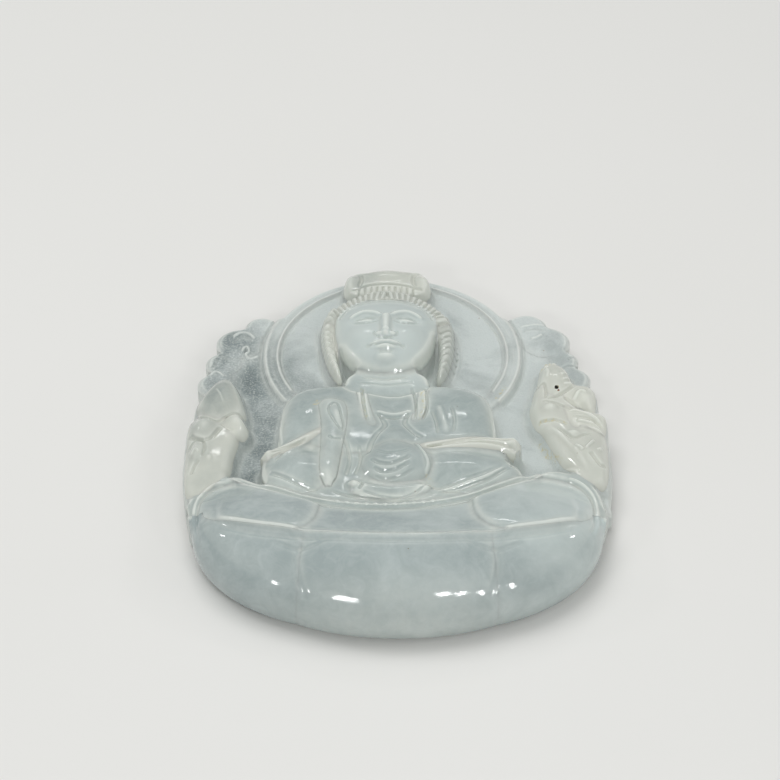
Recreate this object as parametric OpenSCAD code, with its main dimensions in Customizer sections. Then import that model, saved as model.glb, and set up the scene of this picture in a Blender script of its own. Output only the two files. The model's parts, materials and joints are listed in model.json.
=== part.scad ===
// Carved jade relief plaque: a seated, crowned figure on a lotus throne.
// The stone lies on its flat back, so Z is the height of the relief and +Y points to the crown.
// Left and right are the viewer's. Relief heights are measured from the face of the back plate.

/* [Stone] */
// Width of the plate across the cloud borders
stone_w = 49; // [42:0.5:60]
// Length from the throne's front edge to the top of the halo
stone_h = 61.4; // [52:0.1:75]
// Thickness of the plate behind the carving
plate_t = 2.6; // [1.8:0.1:4]
// Length of the plate's oval body
plate_h = 54; // [46:0.5:66]
// Middle of the plate's oval body along the stone
plate_y = -4; // [-8:0.5:0]
// How square the plate's oval body is: 2 is an ellipse
plate_square = 2.3; // [2:0.1:3]
// Radius of the small side nubs beside the throne
nub_r = 1; // [0.6:0.1:1.6]
// Place of the left nub
left_nub_at = [-22.2, -15]; // [-26:0.1:26]
// Place of the right nub
right_nub_at = [23.1, -12]; // [-26:0.1:26]

/* [Halo] */
// Radius of the halo
halo_r = 15.6; // [13:0.1:19]
// Sideways place of the halo's middle
halo_x = -0.7; // [-2:0.1:2]
// Relief of the halo's field
halo_t = 0.45; // [0.2:0.05:1]
// Width of the raised rim
ring_w = 1.7; // [1:0.1:3]
// Relief of the raised rim
ring_t = 0.7; // [0.4:0.05:1.6]
// Share of the rim's relief at its two edges
ring_edge_share = 0.6; // [0.3:0.05:0.9]
// Share of the rim's width that is flat on top
ring_flat_share = 0.4; // [0.1:0.05:0.8]

/* [Clouds] */
// Rise of a cloud lobe from its edge to its flat top
cloud_crown = 0.35; // [0.1:0.05:1.6]
// Relief of a cloud lobe at its edge
cloud_rim = 0.25; // [0.1:0.05:1]
// Share of a cloud lobe's radius that is flat on top
lobe_flat_share = 0.5; // [0.1:0.05:0.9]
// Left lobes from the top: sideways place
left_lobe_x = [-17, -19.5, -21.2, -21.8]; // [-24:0.1:-14]
// Left lobes from the top: place along the stone
left_lobe_y = [20.7, 17.4, 13.4, 9.4]; // [0:0.1:26]
// Left lobes from the top: radius
left_lobe_r = [2, 2.9, 2.2, 2.3]; // [1:0.1:4]
// Right lobes from the top: sideways place
right_lobe_x = [16, 18.2, 20.2, 20.8]; // [14:0.1:24]
// Right lobes from the top: place along the stone
right_lobe_y = [20.9, 17.9, 14.2, 10.6]; // [0:0.1:26]
// Right lobes from the top: radius
right_lobe_r = [2.5, 3, 1.8, 2.4]; // [1:0.1:4]

/* [Throne] */
// Half the throne's width at its front edge
throne_half_w = 22.9; // [19:0.1:28]
// Depth of the throne from its side ends to its front edge
throne_depth = 15; // [12:0.1:18]
// Half the width of the throne's crest
crest_half_w = 21.4; // [18:0.1:26]
// Depth of the throne's crest from its side ends
crest_depth = 6.8; // [5:0.1:9]
// Height of the crest at the front
crest_z = 9.1; // [7:0.1:11]
// Height of the crest at its side ends
crest_end_z = 4.9; // [3.5:0.1:7]
// Height of the throne's widest line above the back
edge_z = 3; // [2:0.1:4]
// How far the front edge rounds in under the stone
edge_under = 1.8; // [1:0.1:4]
// Depth of the valleys between the lower petals
valley = 0.3; // [0.1:0.05:1]
// Sideways place of the valleys on the crest
valley_x = 10; // [7:0.1:13]
// Upper end of the left side band, beside the seat's rim
left_side_top = [-17.6, -9.8]; // [-26:0.1:26]
// Point that bends the left side band round the side petal
left_side_bend = [-24.4, -9.4]; // [-26:0.1:26]
// Lower end of the left side band, which the throne's front cuts off
left_side_end = [-20.9, -19]; // [-26:0.1:26]
// Upper end of the right side band, beside the seat's rim
right_side_top = [15.8, -8.6]; // [-26:0.1:26]
// Point that bends the right side band round the side petal
right_side_bend = [24.2, -8.4]; // [-26:0.1:26]
// Lower end of the right side band, which the throne's front cuts off
right_side_end = [20.6, -19]; // [-26:0.1:26]
// Width of a side band at its upper and its lower end
side_w = [2.4, 3]; // [1:0.1:5]
// Relief of a side band at its edge and the rise to its middle
side_relief = [1.5, 0.9]; // [0.2:0.1:6]

/* [Upper petals] */
// Width and length of the two side petals
side_petal = [13.4, 12.6]; // [8:0.1:18]
// Place of the left side petal's middle, from the middle of the throne's side ends
left_petal_at = [-15.3, -0.3]; // [-20:0.1:20]
// Place of the right side petal's middle, from the middle of the throne's side ends
right_petal_at = [14.9, 0.4]; // [-20:0.1:20]
// Relief of a side petal at its edge and the rise to its middle
side_petal_relief = [3.4, 1.4]; // [0.2:0.1:6]
// Width and length of the middle petal
middle_petal = [24.4, 11]; // [8:0.1:28]
// Place of the middle petal's middle, from the middle of the throne's side ends
middle_petal_at = [-0.2, -2.4]; // [-20:0.1:20]
// Relief of the middle petal at its edge and the rise to its middle
middle_petal_relief = [4, 0.9]; // [0.2:0.1:6]
// Fall of the petals from the crest to the back, in mm for each mm
petal_fall = 0.33; // [0.1:0.01:0.5]
// Fall of a side petal to its outer end, in mm for each mm
petal_side_fall = 0.12; // [0:0.01:0.3]

/* [Seat and legs] */
// Left end of the seat's rim
seat_left = [-18.4, -9.3]; // [-22:0.1:22]
// Lowest point of the seat's rim
seat_low = [-1.2, -15.7]; // [-22:0.1:22]
// Right end of the seat's rim
seat_right = [16, -8.6]; // [-22:0.1:22]
// Width of the seat's rim at its lowest point and at its ends
seat_w = [2.2, 0.9]; // [0.5:0.1:4]
// Relief of the seat's rim at its edge and the rise to its middle
seat_relief = [2.9, 0.9]; // [0.2:0.1:6]
// Share of the rim's relief that is left at its ends
seat_end_share = 0.72; // [0.2:0.05:1]
// Width and length of the left knee
left_knee_size = [8, 8]; // [4:0.1:20]
// Place of the left knee's middle
left_knee_at = [-11.2, -9]; // [-22:0.1:22]
// Width and length of the right knee
right_knee_size = [13.4, 7.6]; // [4:0.1:20]
// Place of the right knee's middle
right_knee_at = [7.4, -9]; // [-22:0.1:22]
// Relief of a knee at its edge and the rise to its middle
knee_relief = [2.1, 2]; // [0.2:0.1:6]
// Width and length of the robe between the knees
lap_size = [20.4, 9.4]; // [4:0.1:26]
// Place of the robe's middle between the knees
lap_at = [-1.6, -11]; // [-22:0.1:22]
// Relief of the robe between the knees at its edge and the rise to its middle
lap_relief = [2.9, 0.6]; // [0.2:0.1:6]

/* [Torso] */
// Width across the sleeves and height of the torso
torso_size = [25, 16.4]; // [12:0.1:32]
// Place of the torso's middle
torso_at = [-1.2, -1.5]; // [-22:0.1:22]
// Relief of the torso at its edge and the rise to its middle
torso_relief = [1.9, 2]; // [0.2:0.1:6]
// Width and height of the bare neck
neck_size = [10.4, 5.6]; // [4:0.1:14]
// Place of the neck's middle
neck_at = [-1.3, 6.9]; // [-22:0.1:22]
// Relief of the neck at its edge and the rise to its middle
neck_relief = [2.3, 0.7]; // [0.2:0.1:6]
// Width of a lapel
lapel_w = 1.2; // [0.6:0.1:2.5]
// Left lapel from the top: sideways place from the torso's middle
left_lapel_x = [-3.3, -3, -1.6]; // [-8:0.1:8]
// Left lapel from the top: place along the stone from the torso's middle
left_lapel_y = [8.1, 3.5, -0.6]; // [-10:0.1:10]
// Right lapel from the top: sideways place from the torso's middle
right_lapel_x = [3.9, 4.7, 3]; // [-8:0.1:8]
// Right lapel from the top: place along the stone from the torso's middle
right_lapel_y = [8.1, 3.5, 0.4]; // [-10:0.1:10]
// Relief of a lapel at its edge and the rise to its middle
lapel_relief = [3.6, 0.3]; // [0.2:0.1:6]
// Relief of a sleeve cuff at its edge and the rise to its middle
cuff_relief = [3.2, 1.2]; // [0.2:0.1:6]
// Width of the left cuff at its outer end and its inner end
left_cuff_w = [1.9, 0.9]; // [0.5:0.1:4]
// Outer end of the left cuff
left_cuff_outer = [-15.4, -7.4]; // [-22:0.1:22]
// Point that bends the left cuff
left_cuff_bend = [-12.4, -6]; // [-22:0.1:22]
// Inner end of the left cuff
left_cuff_inner = [-8.2, -2.6]; // [-22:0.1:22]
// Width of the right cuff at its outer end and its inner end
right_cuff_w = [2.7, 0.9]; // [0.5:0.1:4]
// Outer end of the right cuff
right_cuff_outer = [14, -5.2]; // [-22:0.1:22]
// Point that bends the right cuff
right_cuff_bend = [9, -4.4]; // [-22:0.1:22]
// Inner end of the right cuff
right_cuff_inner = [2, -5.9]; // [-22:0.1:22]

/* [Hands and foot] */
// Width of the raised hand and of its sleeve's lower end
raised_hand_w = [3.5, 1.9]; // [1:0.1:6]
// Fingertips of the raised hand
raised_hand_tip = [-8, 2.4]; // [-22:0.1:22]
// Point that bends the raised hand
raised_hand_bend = [-6.6, -1]; // [-22:0.1:22]
// Point that bends the raised hand's sleeve
raised_sleeve_bend = [-7.9, -6]; // [-22:0.1:22]
// Lower end of the raised hand's sleeve
raised_sleeve_end = [-7.7, -12.2]; // [-22:0.1:22]
// Relief of the raised hand at its edge and the rise to its middle
raised_hand_relief = [3.7, 1.4]; // [0.2:0.1:6]
// Width and length of the hands in the lap
lap_hand_size = [8, 6.4]; // [3:0.1:12]
// Place of the middle of the hands in the lap
lap_hand_at = [-0.1, -8.6]; // [-22:0.1:22]
// Relief of the hands in the lap at their edge and the rise to their middle
lap_hand_relief = [3.5, 1.5]; // [0.2:0.1:6]
// Width of the crossed foot at the toes and at the heel
foot_w = [2.1, 1.5]; // [0.8:0.1:4]
// Toes of the crossed foot
foot_toes = [-5.2, -12.4]; // [-22:0.1:22]
// Point that bends the crossed foot
foot_bend = [-0.5, -13.9]; // [-22:0.1:22]
// Heel of the crossed foot
foot_heel = [3.6, -12.2]; // [-22:0.1:22]
// Relief of the crossed foot at its edge and the rise to its middle
foot_relief = [3.4, 1]; // [0.2:0.1:6]

/* [Head] */
// Width and height of the face
face_size = [12.2, 13.8]; // [8:0.1:18]
// Place of the face's middle
face_at = [-1.5, 15]; // [-22:0.1:22]
// Relief of the face at its edge and the rise to its middle
face_relief = [2.7, 2.7]; // [0.2:0.1:6]
// Left hair lock from the top: sideways place as a share of the face's width
left_hair_x = [-0.55, -0.61, -0.44]; // [-1:0.01:1]
// Right hair lock from the top: sideways place as a share of the face's width
right_hair_x = [0.56, 0.66, 0.52]; // [-1:0.01:1]
// Hair locks from the top: place along the stone from the face's middle
hair_y = [5, -1.5, -7.2]; // [-10:0.1:10]
// Width of a hair lock at its top and its tip
hair_w = [2.6, 1.1]; // [0.4:0.1:4]
// Relief of a hair lock at its edge and the rise to its middle
hair_relief = [2.1, 1.3]; // [0.2:0.1:6]
// Width of the hair band over the forehead
band_w = 1.9; // [1:0.1:3]
// Angle at which the hair band ends on the right; the left end mirrors it
band_end = 15; // [5:1:40]
// Relief of the hair band at its edge and the rise to its middle
band_relief = [3, 1]; // [0.2:0.1:6]
// Width and height of the crown
crown_size = [10.8, 5.8]; // [6:0.1:18]
// Place of the crown's middle
crown_at = [-1.4, 26.2]; // [-22:0.1:30]
// Relief of the crown at its edge and the rise to its middle
crown_relief = [2.2, 1.5]; // [0.2:0.1:6]

/* [Attendants] */
// Width and height of the left attendant's head
left_head_size = [5.8, 8.2]; // [2:0.1:12]
// Place of the left attendant's head
left_head_at = [-20.7, 4.3]; // [-26:0.1:26]
// Width and height of the left attendant's joined hands
left_hands_size = [2.8, 3.8]; // [1:0.1:6]
// Place of the left attendant's joined hands
left_hands_at = [-18.7, -0.5]; // [-26:0.1:26]
// Width and height of the left attendant's robe
left_robe_size = [6.4, 14.4]; // [3:0.1:20]
// Place of the left attendant's robe
left_robe_at = [-21, -5.2]; // [-26:0.1:26]
// Width and height of the right attendant's head
right_head_size = [4.6, 6.8]; // [2:0.1:10]
// Place of the right attendant's head
right_head_at = [18.7, 8.1]; // [-26:0.1:26]
// Width and height of the right attendant's scarf end
scarf_size = [3.8, 5.2]; // [2:0.1:10]
// Place of the right attendant's scarf end
scarf_at = [21.4, 4.9]; // [-26:0.1:26]
// Width and height of the right attendant's sleeve
sleeve_size = [4.8, 4.6]; // [2:0.1:10]
// Place of the right attendant's sleeve
sleeve_at = [21.8, 0.8]; // [-26:0.1:26]
// Width and height of the right attendant's robe
right_robe_size = [8.7, 17.5]; // [3:0.1:24]
// Place of the right attendant's robe
right_robe_at = [19.7, -1.3]; // [-26:0.1:26]
// Relief of an attendant's head at its edge and the rise to its middle
head_relief = [1.8, 1.8]; // [0.2:0.1:6]
// Relief of joined hands, scarf end and sleeve at their edge and the rise to their middle
scarf_relief = [1.9, 1.2]; // [0.2:0.1:6]
// Relief of an attendant's robe at its edge and the rise to its middle
robe_relief = [1.5, 1.4]; // [0.2:0.1:6]

/* [Hidden] */

$fn = 96;
tall = 30;              // reach of the cutting prisms
far = 40;               // a distance outside the stone
steps = 14;             // sections along a swept strip
dome_steps = 6;         // facets across a swept strip's top
rings = 5;              // rings from a pad's edge to its middle
halo_at = [halo_x, stone_h / 2 - halo_r];
throne_at = [0, throne_depth - stone_h / 2];
jade = [0.72, 0.78, 0.77];
pale_jade = [0.80, 0.83, 0.80];
deep_jade = [0.62, 0.70, 0.72];
blunt_end = 0.35;       // share of a strip's width that is left at its very end
slope_full = 1.75;      // how full the throne's front is: 1 is straight, 2 is a quarter circle
under_share = 0.6;      // most of the front's reach that may round in under the stone
crest_round = 0.8;      // how evenly the crest falls to its side ends: 1 falls as a circle does
valley_round = 0.5;     // how widely a lower petal stays full between its valleys
lobe_root = 0.88;       // where a lobe's ground starts, as a share of the way from the halo's middle

// Outlines in shares of a piece's width and height, from its middle.
crown_shape = [[-0.46, -0.34], [-0.5, 0.1], [-0.42, 0.34], [-0.26, 0.44], [0, 0.5],
    [0.26, 0.47], [0.42, 0.42], [0.5, 0.1], [0.46, -0.34], [0, -0.5]];
left_head_shape = [[-0.41, 0.09], [-0.29, 0.24], [-0.16, 0.4], [0, 0.5], [0.19, 0.45], [0.34, 0.22],
    [0.47, -0.1], [0.5, -0.35], [0.2, -0.4], [-0.09, -0.48], [-0.29, -0.41], [-0.46, -0.28], [-0.5, -0.12]];
left_robe_shape = [[-0.48, 0.43], [-0.16, 0.47], [0.23, 0.4], [0.42, 0.24], [0.36, 0.02], [0.31, -0.22],
    [0.16, -0.32], [-0.06, -0.45], [-0.37, -0.48], [-0.47, -0.3], [-0.5, 0.01]];
right_head_shape = [[-0.48, -0.16], [-0.41, 0.19], [-0.35, 0.41], [-0.09, 0.5], [0.15, 0.4], [0.37, 0.24],
    [0.46, -0.04], [0.5, -0.21], [0.3, -0.37], [0.04, -0.5], [-0.22, -0.41], [-0.33, -0.25]];
scarf_shape = [[-0.12, 0.42], [0.15, 0.5], [0.41, 0.38], [0.5, 0.13], [0.49, -0.17], [0.4, -0.47],
    [0.18, -0.42], [-0.22, -0.3], [-0.5, -0.04], [-0.36, 0.15]];
sleeve_shape = [[-0.5, 0.49], [-0.27, 0.43], [0.04, 0.3], [0.29, 0.33], [0.45, 0.3], [0.5, 0.04],
    [0.49, -0.26], [0.43, -0.48], [0.23, -0.52], [-0.08, -0.37], [-0.31, -0.39], [-0.45, -0.04]];
right_robe_shape = [[-0.37, 0.5], [-0.45, 0.37], [-0.49, 0.25], [-0.44, 0.11], [-0.34, 0.02], [-0.25, -0.1],
    [-0.14, -0.25], [-0.02, -0.35], [0.14, -0.45], [0.3, -0.5], [0.42, -0.48], [0.48, -0.38],
    [0.5, -0.21], [0.49, -0.01], [0.32, 0.13], [0.03, 0.36], [-0.14, 0.48]];

// Points of a squared oval: square 2 is an ellipse, taper widens the end towards +Y.
function oval(at, size, square = 2, taper = 0, turn = 0, n = 36) =
    [for (i = [0 : n - 1])
        let (a = 360 * i / n,
             y = sign(sin(a)) * pow(abs(sin(a)), 2 / square),
             x = sign(cos(a)) * pow(abs(cos(a)), 2 / square) * (1 + taper * y),
             p = [x * size[0] / 2, y * size[1] / 2])
        at + [p[0] * cos(turn) - p[1] * sin(turn), p[0] * sin(turn) + p[1] * cos(turn)]];

// Closed smooth curve through a few points.
function smooth_loop(p, n = 4) =
    [for (i = [0 : len(p) - 1], k = [0 : n - 1])
        let (t = k / n,
             a = p[(i + len(p) - 1) % len(p)],
             b = p[i],
             c = p[(i + 1) % len(p)],
             d = p[(i + 2) % len(p)])
        b + (c - a) * t / 2 + (2 * a - 5 * b + 4 * c - d) * t * t / 2
            + (3 * b - 3 * c + d - a) * t * t * t / 2];

// One point of a Bezier curve.
function bend(p, t) =
    len(p) == 1 ? p[0] : bend([for (i = [0 : len(p) - 2]) p[i] * (1 - t) + p[i + 1] * t], t);

// Points along a Bezier curve.
function curve(p, n = steps) = [for (i = [0 : n]) bend(p, i / n)];

function unit(v) = v / norm(v);

// Sideways direction of a path at one of its points.
function across(path, i) =
    let (d = unit(path[min(i + 1, len(path) - 1)] - path[max(i - 1, 0)]))
    [-d[1], d[0]];

// Outline of a strip that follows a path, with a width at each point.
function strip_outline(path, widths) =
    let (last = len(path) - 1)
    concat(
        [for (i = [0 : last]) path[i] - across(path, i) * widths[i] / 2],
        [for (i = [last : -1 : 0]) path[i] + across(path, i) * widths[i] / 2]);

// Widths along a strip from one end to the other, with both ends rounded off.
function end_to_end(first, last, n = steps, blunt = 8) =
    [for (i = [0 : n])
        let (t = i / n, w = first + (last - first) * t)
        w * (blunt_end + (1 - blunt_end) * pow(1 - pow(abs(2 * t - 1), blunt), 0.5))];

// A shape of shares, drawn at a place in a size and smoothed.
function shaped(shape, at, size) = smooth_loop([for (p = shape) at + [p[0] * size[0], p[1] * size[1]]]);

// Curve through three points, given as lists of their two coordinates, from a middle.
function bow(at, x, y) = curve([for (i = [0 : len(x) - 1]) at + [x[i], y[i]]]);

// A pad: an outline that rises from the plate and swells to a dome. A low soft value flattens the top.
module pad(outline, centre, relief, fall = [0, 0], soft = 1) {
    n = len(outline);
    top_ring = [for (j = [0 : rings - 1], i = [0 : n - 1])
        let (p = centre + (outline[i] - centre) * cos(90 * j / rings),
             z = plate_t + relief[0] + fall * (p - centre) + relief[1] * pow(sin(90 * j / rings), soft))
        [p[0], p[1], z]];
    points = concat(
        [for (p = outline) [p[0], p[1], plate_t]],
        top_ring,
        [[centre[0], centre[1], plate_t + relief[0] + relief[1]], [centre[0], centre[1], plate_t]]);
    apex = n * (rings + 1);
    faces = concat(
        [for (j = [0 : rings - 1], i = [0 : n - 1])
            [j * n + i, (j + 1) * n + i, j * n + (i + 1) % n]],
        [for (j = [0 : rings - 1], i = [0 : n - 1])
            [(j + 1) * n + i, (j + 1) * n + (i + 1) % n, j * n + (i + 1) % n]],
        [for (i = [0 : n - 1]) [rings * n + i, apex, rings * n + (i + 1) % n]],
        [for (i = [0 : n - 1]) [(i + 1) % n, apex + 1, i]]);
    polyhedron(points, faces, convexity = 4);
}

// A strip with a rounded top that follows a path, with a share of its relief at the ends.
module strip(path, widths, relief, end_share = 1) {
    last = len(path) - 1;
    k = dome_steps + 3;
    share = [for (i = [0 : last]) end_share + (1 - end_share) * sin(180 * i / last)];
    points = [for (i = [0 : last], j = [0 : k - 1])
        let (u = j == 0 ? -1 : j == k - 1 ? 1 : -cos(180 * (j - 1) / dome_steps),
             p = path[i] + across(path, i) * u * widths[i] / 2,
             z = (j == 0 || j == k - 1) ? 0 : relief[0] + relief[1] * sin(180 * (j - 1) / dome_steps))
        [p[0], p[1], plate_t + z * share[i]]];
    faces = concat(
        [for (i = [0 : last - 1], j = [0 : k - 1])
            [i * k + j, i * k + (j + 1) % k, (i + 1) * k + j]],
        [for (i = [0 : last - 1], j = [0 : k - 1])
            [(i + 1) * k + j, i * k + (j + 1) % k, (i + 1) * k + (j + 1) % k]],
        [for (j = [1 : k - 2]) [0, j + 1, j]],
        [for (j = [1 : k - 2]) [last * k, last * k + j, last * k + j + 1]]);
    polyhedron(points, faces, convexity = 4);
}

// The upright prism of an outline, which clears the room of a nearer piece.
module room(outline) {
    translate([0, 0, -1])
        linear_extrude(tall)
            polygon(outline);
}

// Outlines that several pieces share.
plate_line = oval([0, plate_y], [stone_w, plate_h], plate_square, n = 72);
face_line = oval(face_at, face_size, square = 2.3, taper = 0.13);
band_path = [for (i = [0 : steps])
    let (a = 180 - band_end - (180 - 2 * band_end) * i / steps)
    face_at + [cos(a) * (face_size[0] + band_w) / 2, sin(a) * (face_size[1] + band_w) / 2]];
band_overlap = 1.2;     // the band reaches a little under the face, which then cuts it
band_widths = [for (i = [0 : steps]) band_w * band_overlap];
band_line = strip_outline(band_path, band_widths);
left_hair_path = bow(face_at, left_hair_x * face_size[0], hair_y);
right_hair_path = bow(face_at, right_hair_x * face_size[0], hair_y);
hair_widths = end_to_end(hair_w[0], hair_w[1]);
left_hair_line = strip_outline(left_hair_path, hair_widths);
right_hair_line = strip_outline(right_hair_path, hair_widths);
crown_line = shaped(crown_shape, crown_at, crown_size);
neck_line = oval(neck_at, neck_size, square = 3);
torso_line = oval(torso_at, torso_size, square = 4.4, taper = -0.03);
left_lapel_path = bow(torso_at, left_lapel_x, left_lapel_y);
right_lapel_path = bow(torso_at, right_lapel_x, right_lapel_y);
lapel_widths = end_to_end(lapel_w, lapel_w);
left_lapel_line = strip_outline(left_lapel_path, lapel_widths);
right_lapel_line = strip_outline(right_lapel_path, lapel_widths);
left_cuff_path = curve([left_cuff_outer, left_cuff_bend, left_cuff_inner]);
right_cuff_path = curve([right_cuff_outer, right_cuff_bend, right_cuff_inner]);
left_cuff_widths = end_to_end(left_cuff_w[0], left_cuff_w[1]);
right_cuff_widths = end_to_end(right_cuff_w[0], right_cuff_w[1]);
left_cuff_line = strip_outline(left_cuff_path, left_cuff_widths);
right_cuff_line = strip_outline(right_cuff_path, right_cuff_widths);
raised_hand_path = curve([raised_hand_tip, raised_hand_bend, raised_sleeve_bend, raised_sleeve_end]);
raised_hand_widths = end_to_end(raised_hand_w[0], raised_hand_w[1]);
raised_hand_line = strip_outline(raised_hand_path, raised_hand_widths);
lap_hand_line = oval(lap_hand_at, lap_hand_size, square = 2.3);
foot_path = curve([foot_toes, foot_bend, foot_heel]);
foot_widths = end_to_end(foot_w[0], foot_w[1]);
foot_line = strip_outline(foot_path, foot_widths);
seat_bend = seat_low * 2 - (seat_left + seat_right) / 2;
seat_steps = 22;
seat_path = curve([seat_left, seat_bend, seat_right], seat_steps);
seat_widths = [for (i = [0 : seat_steps]) seat_w[1] + (seat_w[0] - seat_w[1]) * sin(180 * i / seat_steps)];
seat_line = strip_outline(seat_path, seat_widths);
behind_seat = concat(seat_path, [[far, seat_right[1]], [far, far], [-far, far], [-far, seat_left[1]]]);
before_seat = concat(seat_path, [[far, seat_right[1]], [far, -far], [-far, -far], [-far, seat_left[1]]]);
left_knee_line = oval(left_knee_at, left_knee_size, square = 2.4, turn = 20);
right_knee_line = oval(right_knee_at, right_knee_size, square = 2.4, turn = -6);
lap_line = oval(lap_at, lap_size, square = 3);
left_petal_line = oval(throne_at + left_petal_at, side_petal, square = 2.7);
right_petal_line = oval(throne_at + right_petal_at, side_petal, square = 2.7);
left_head_line = shaped(left_head_shape, left_head_at, left_head_size);
left_hands_line = oval(left_hands_at, left_hands_size, turn = 12, n = 24);
left_robe_line = shaped(left_robe_shape, left_robe_at, left_robe_size);
right_head_line = shaped(right_head_shape, right_head_at, right_head_size);
scarf_line = shaped(scarf_shape, scarf_at, scarf_size);
sleeve_line = shaped(sleeve_shape, sleeve_at, sleeve_size);
right_robe_line = shaped(right_robe_shape, right_robe_at, right_robe_size);
side_widths = end_to_end(side_w[0], side_w[1]);
left_side_path = curve([left_side_top, left_side_bend, left_side_end]);
right_side_path = curve([right_side_top, right_side_bend, right_side_end]);

// The throne's crest and front edge, by the angle around the middle of the throne's side ends.
function crest_point(a) = throne_at + [crest_half_w * cos(a), crest_depth * sin(a)];
function edge_point(a) = throne_at + [throne_half_w * cos(a), throne_depth * sin(a)];
function crest_height(a) = crest_end_z + (crest_z - crest_end_z) * pow(abs(sin(a)), crest_round);
valley_angle = acos(valley_x / crest_half_w);
petal_steps = 14;
left_angles = [for (i = [0 : petal_steps]) 180 + valley_angle * i / petal_steps];
middle_angles = [for (i = [0 : petal_steps]) 180 + valley_angle + (180 - 2 * valley_angle) * i / petal_steps];
right_angles = [for (i = [0 : petal_steps]) 360 - valley_angle + valley_angle * i / petal_steps];
crest_line = [for (a = concat(left_angles, middle_angles, right_angles)) crest_point(a)];
front_cut = concat(crest_line, [throne_at + [far, 0], [far, -far], [-far, -far], throne_at - [far, 0]]);

// The plate under the cloud lobes: each lobe's circle, and the same circle nearer to the halo.
module lobe_ground(x, y, r) {
    for (i = [0 : len(x) - 1], share = [lobe_root, 1])
        translate(halo_at + ([x[i], y[i]] - halo_at) * share)
            circle(r[i]);
}

module back_plaque() {
    color(deep_jade)
        difference() {
            linear_extrude(plate_t)
                union() {
                    polygon(plate_line);
                    translate(halo_at)
                        circle(halo_r);
                    lobe_ground(left_lobe_x, left_lobe_y, left_lobe_r);
                    lobe_ground(right_lobe_x, right_lobe_y, right_lobe_r);
                    translate(left_nub_at)
                        circle(nub_r);
                    translate(right_nub_at)
                        circle(nub_r);
                }
            room(front_cut);
        }
}

module figure_room() {
    room(torso_line);
    room(neck_line);
    room(face_line);
    room(left_hair_line);
    room(right_hair_line);
    room(band_line);
    room(crown_line);
}

module halo_field() {
    color(deep_jade)
        difference() {
            translate([halo_at[0], halo_at[1], plate_t])
                cylinder(r = halo_r - ring_w, h = halo_t);
            figure_room();
        }
}

module halo_ring() {
    ring_slope = ring_w * (1 - ring_flat_share) / 2;
    color(deep_jade)
        difference() {
            translate([halo_at[0], halo_at[1], plate_t])
                rotate_extrude()
                    polygon([[halo_r - ring_w, 0], [halo_r, 0], [halo_r, ring_t * ring_edge_share],
                        [halo_r - ring_slope, ring_t], [halo_r - ring_w + ring_slope, ring_t],
                        [halo_r - ring_w, ring_t * ring_edge_share]]);
            figure_room();
        }
}

// A cloud lobe: a low round button that slopes from a flat top to its edge.
module lobe(x, y, r) {
    top = cloud_rim + cloud_crown;
    translate([x, y, plate_t])
        rotate_extrude()
            polygon([[0, 0], [r, 0], [r, cloud_rim], [r * lobe_flat_share, top], [0, top]]);
}

module clouds(x, y, r) {
    for (i = [0 : len(x) - 1])
        difference() {
            lobe(x[i], y[i], r[i]);
            if (i > 0)
                translate([x[i - 1], y[i - 1], 0])
                    cylinder(r = r[i - 1], h = tall);
            translate([halo_at[0], halo_at[1], 0])
                cylinder(r = halo_r, h = tall);
            room(left_head_line);
            room(right_head_line);
            room(scarf_line);
        }
}

module left_clouds() {
    color(deep_jade)
        clouds(left_lobe_x, left_lobe_y, left_lobe_r);
}

module right_clouds() {
    color(deep_jade)
        clouds(right_lobe_x, right_lobe_y, right_lobe_r);
}

module left_attendant_head() {
    color(pale_jade)
        pad(left_head_line, left_head_at, head_relief);
}

module left_attendant_hands() {
    color(pale_jade)
        difference() {
            pad(left_hands_line, left_hands_at, scarf_relief);
            room(left_head_line);
        }
}

module left_attendant_robe() {
    color(pale_jade)
        difference() {
            pad(left_robe_line, left_robe_at, robe_relief);
            room(left_head_line);
            room(left_hands_line);
            room(left_petal_line);
        }
}

module right_attendant_head() {
    color(pale_jade)
        pad(right_head_line, right_head_at, head_relief);
}

module right_attendant_scarf() {
    color(pale_jade)
        difference() {
            pad(scarf_line, scarf_at, scarf_relief);
            room(right_head_line);
        }
}

module right_attendant_sleeve() {
    color(pale_jade)
        difference() {
            pad(sleeve_line, sleeve_at, scarf_relief);
            room(scarf_line);
        }
}

module right_attendant_robe() {
    color(pale_jade)
        difference() {
            pad(right_robe_line, right_robe_at, robe_relief);
            room(right_head_line);
            room(scarf_line);
            room(sleeve_line);
            room(right_petal_line);
        }
}

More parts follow.
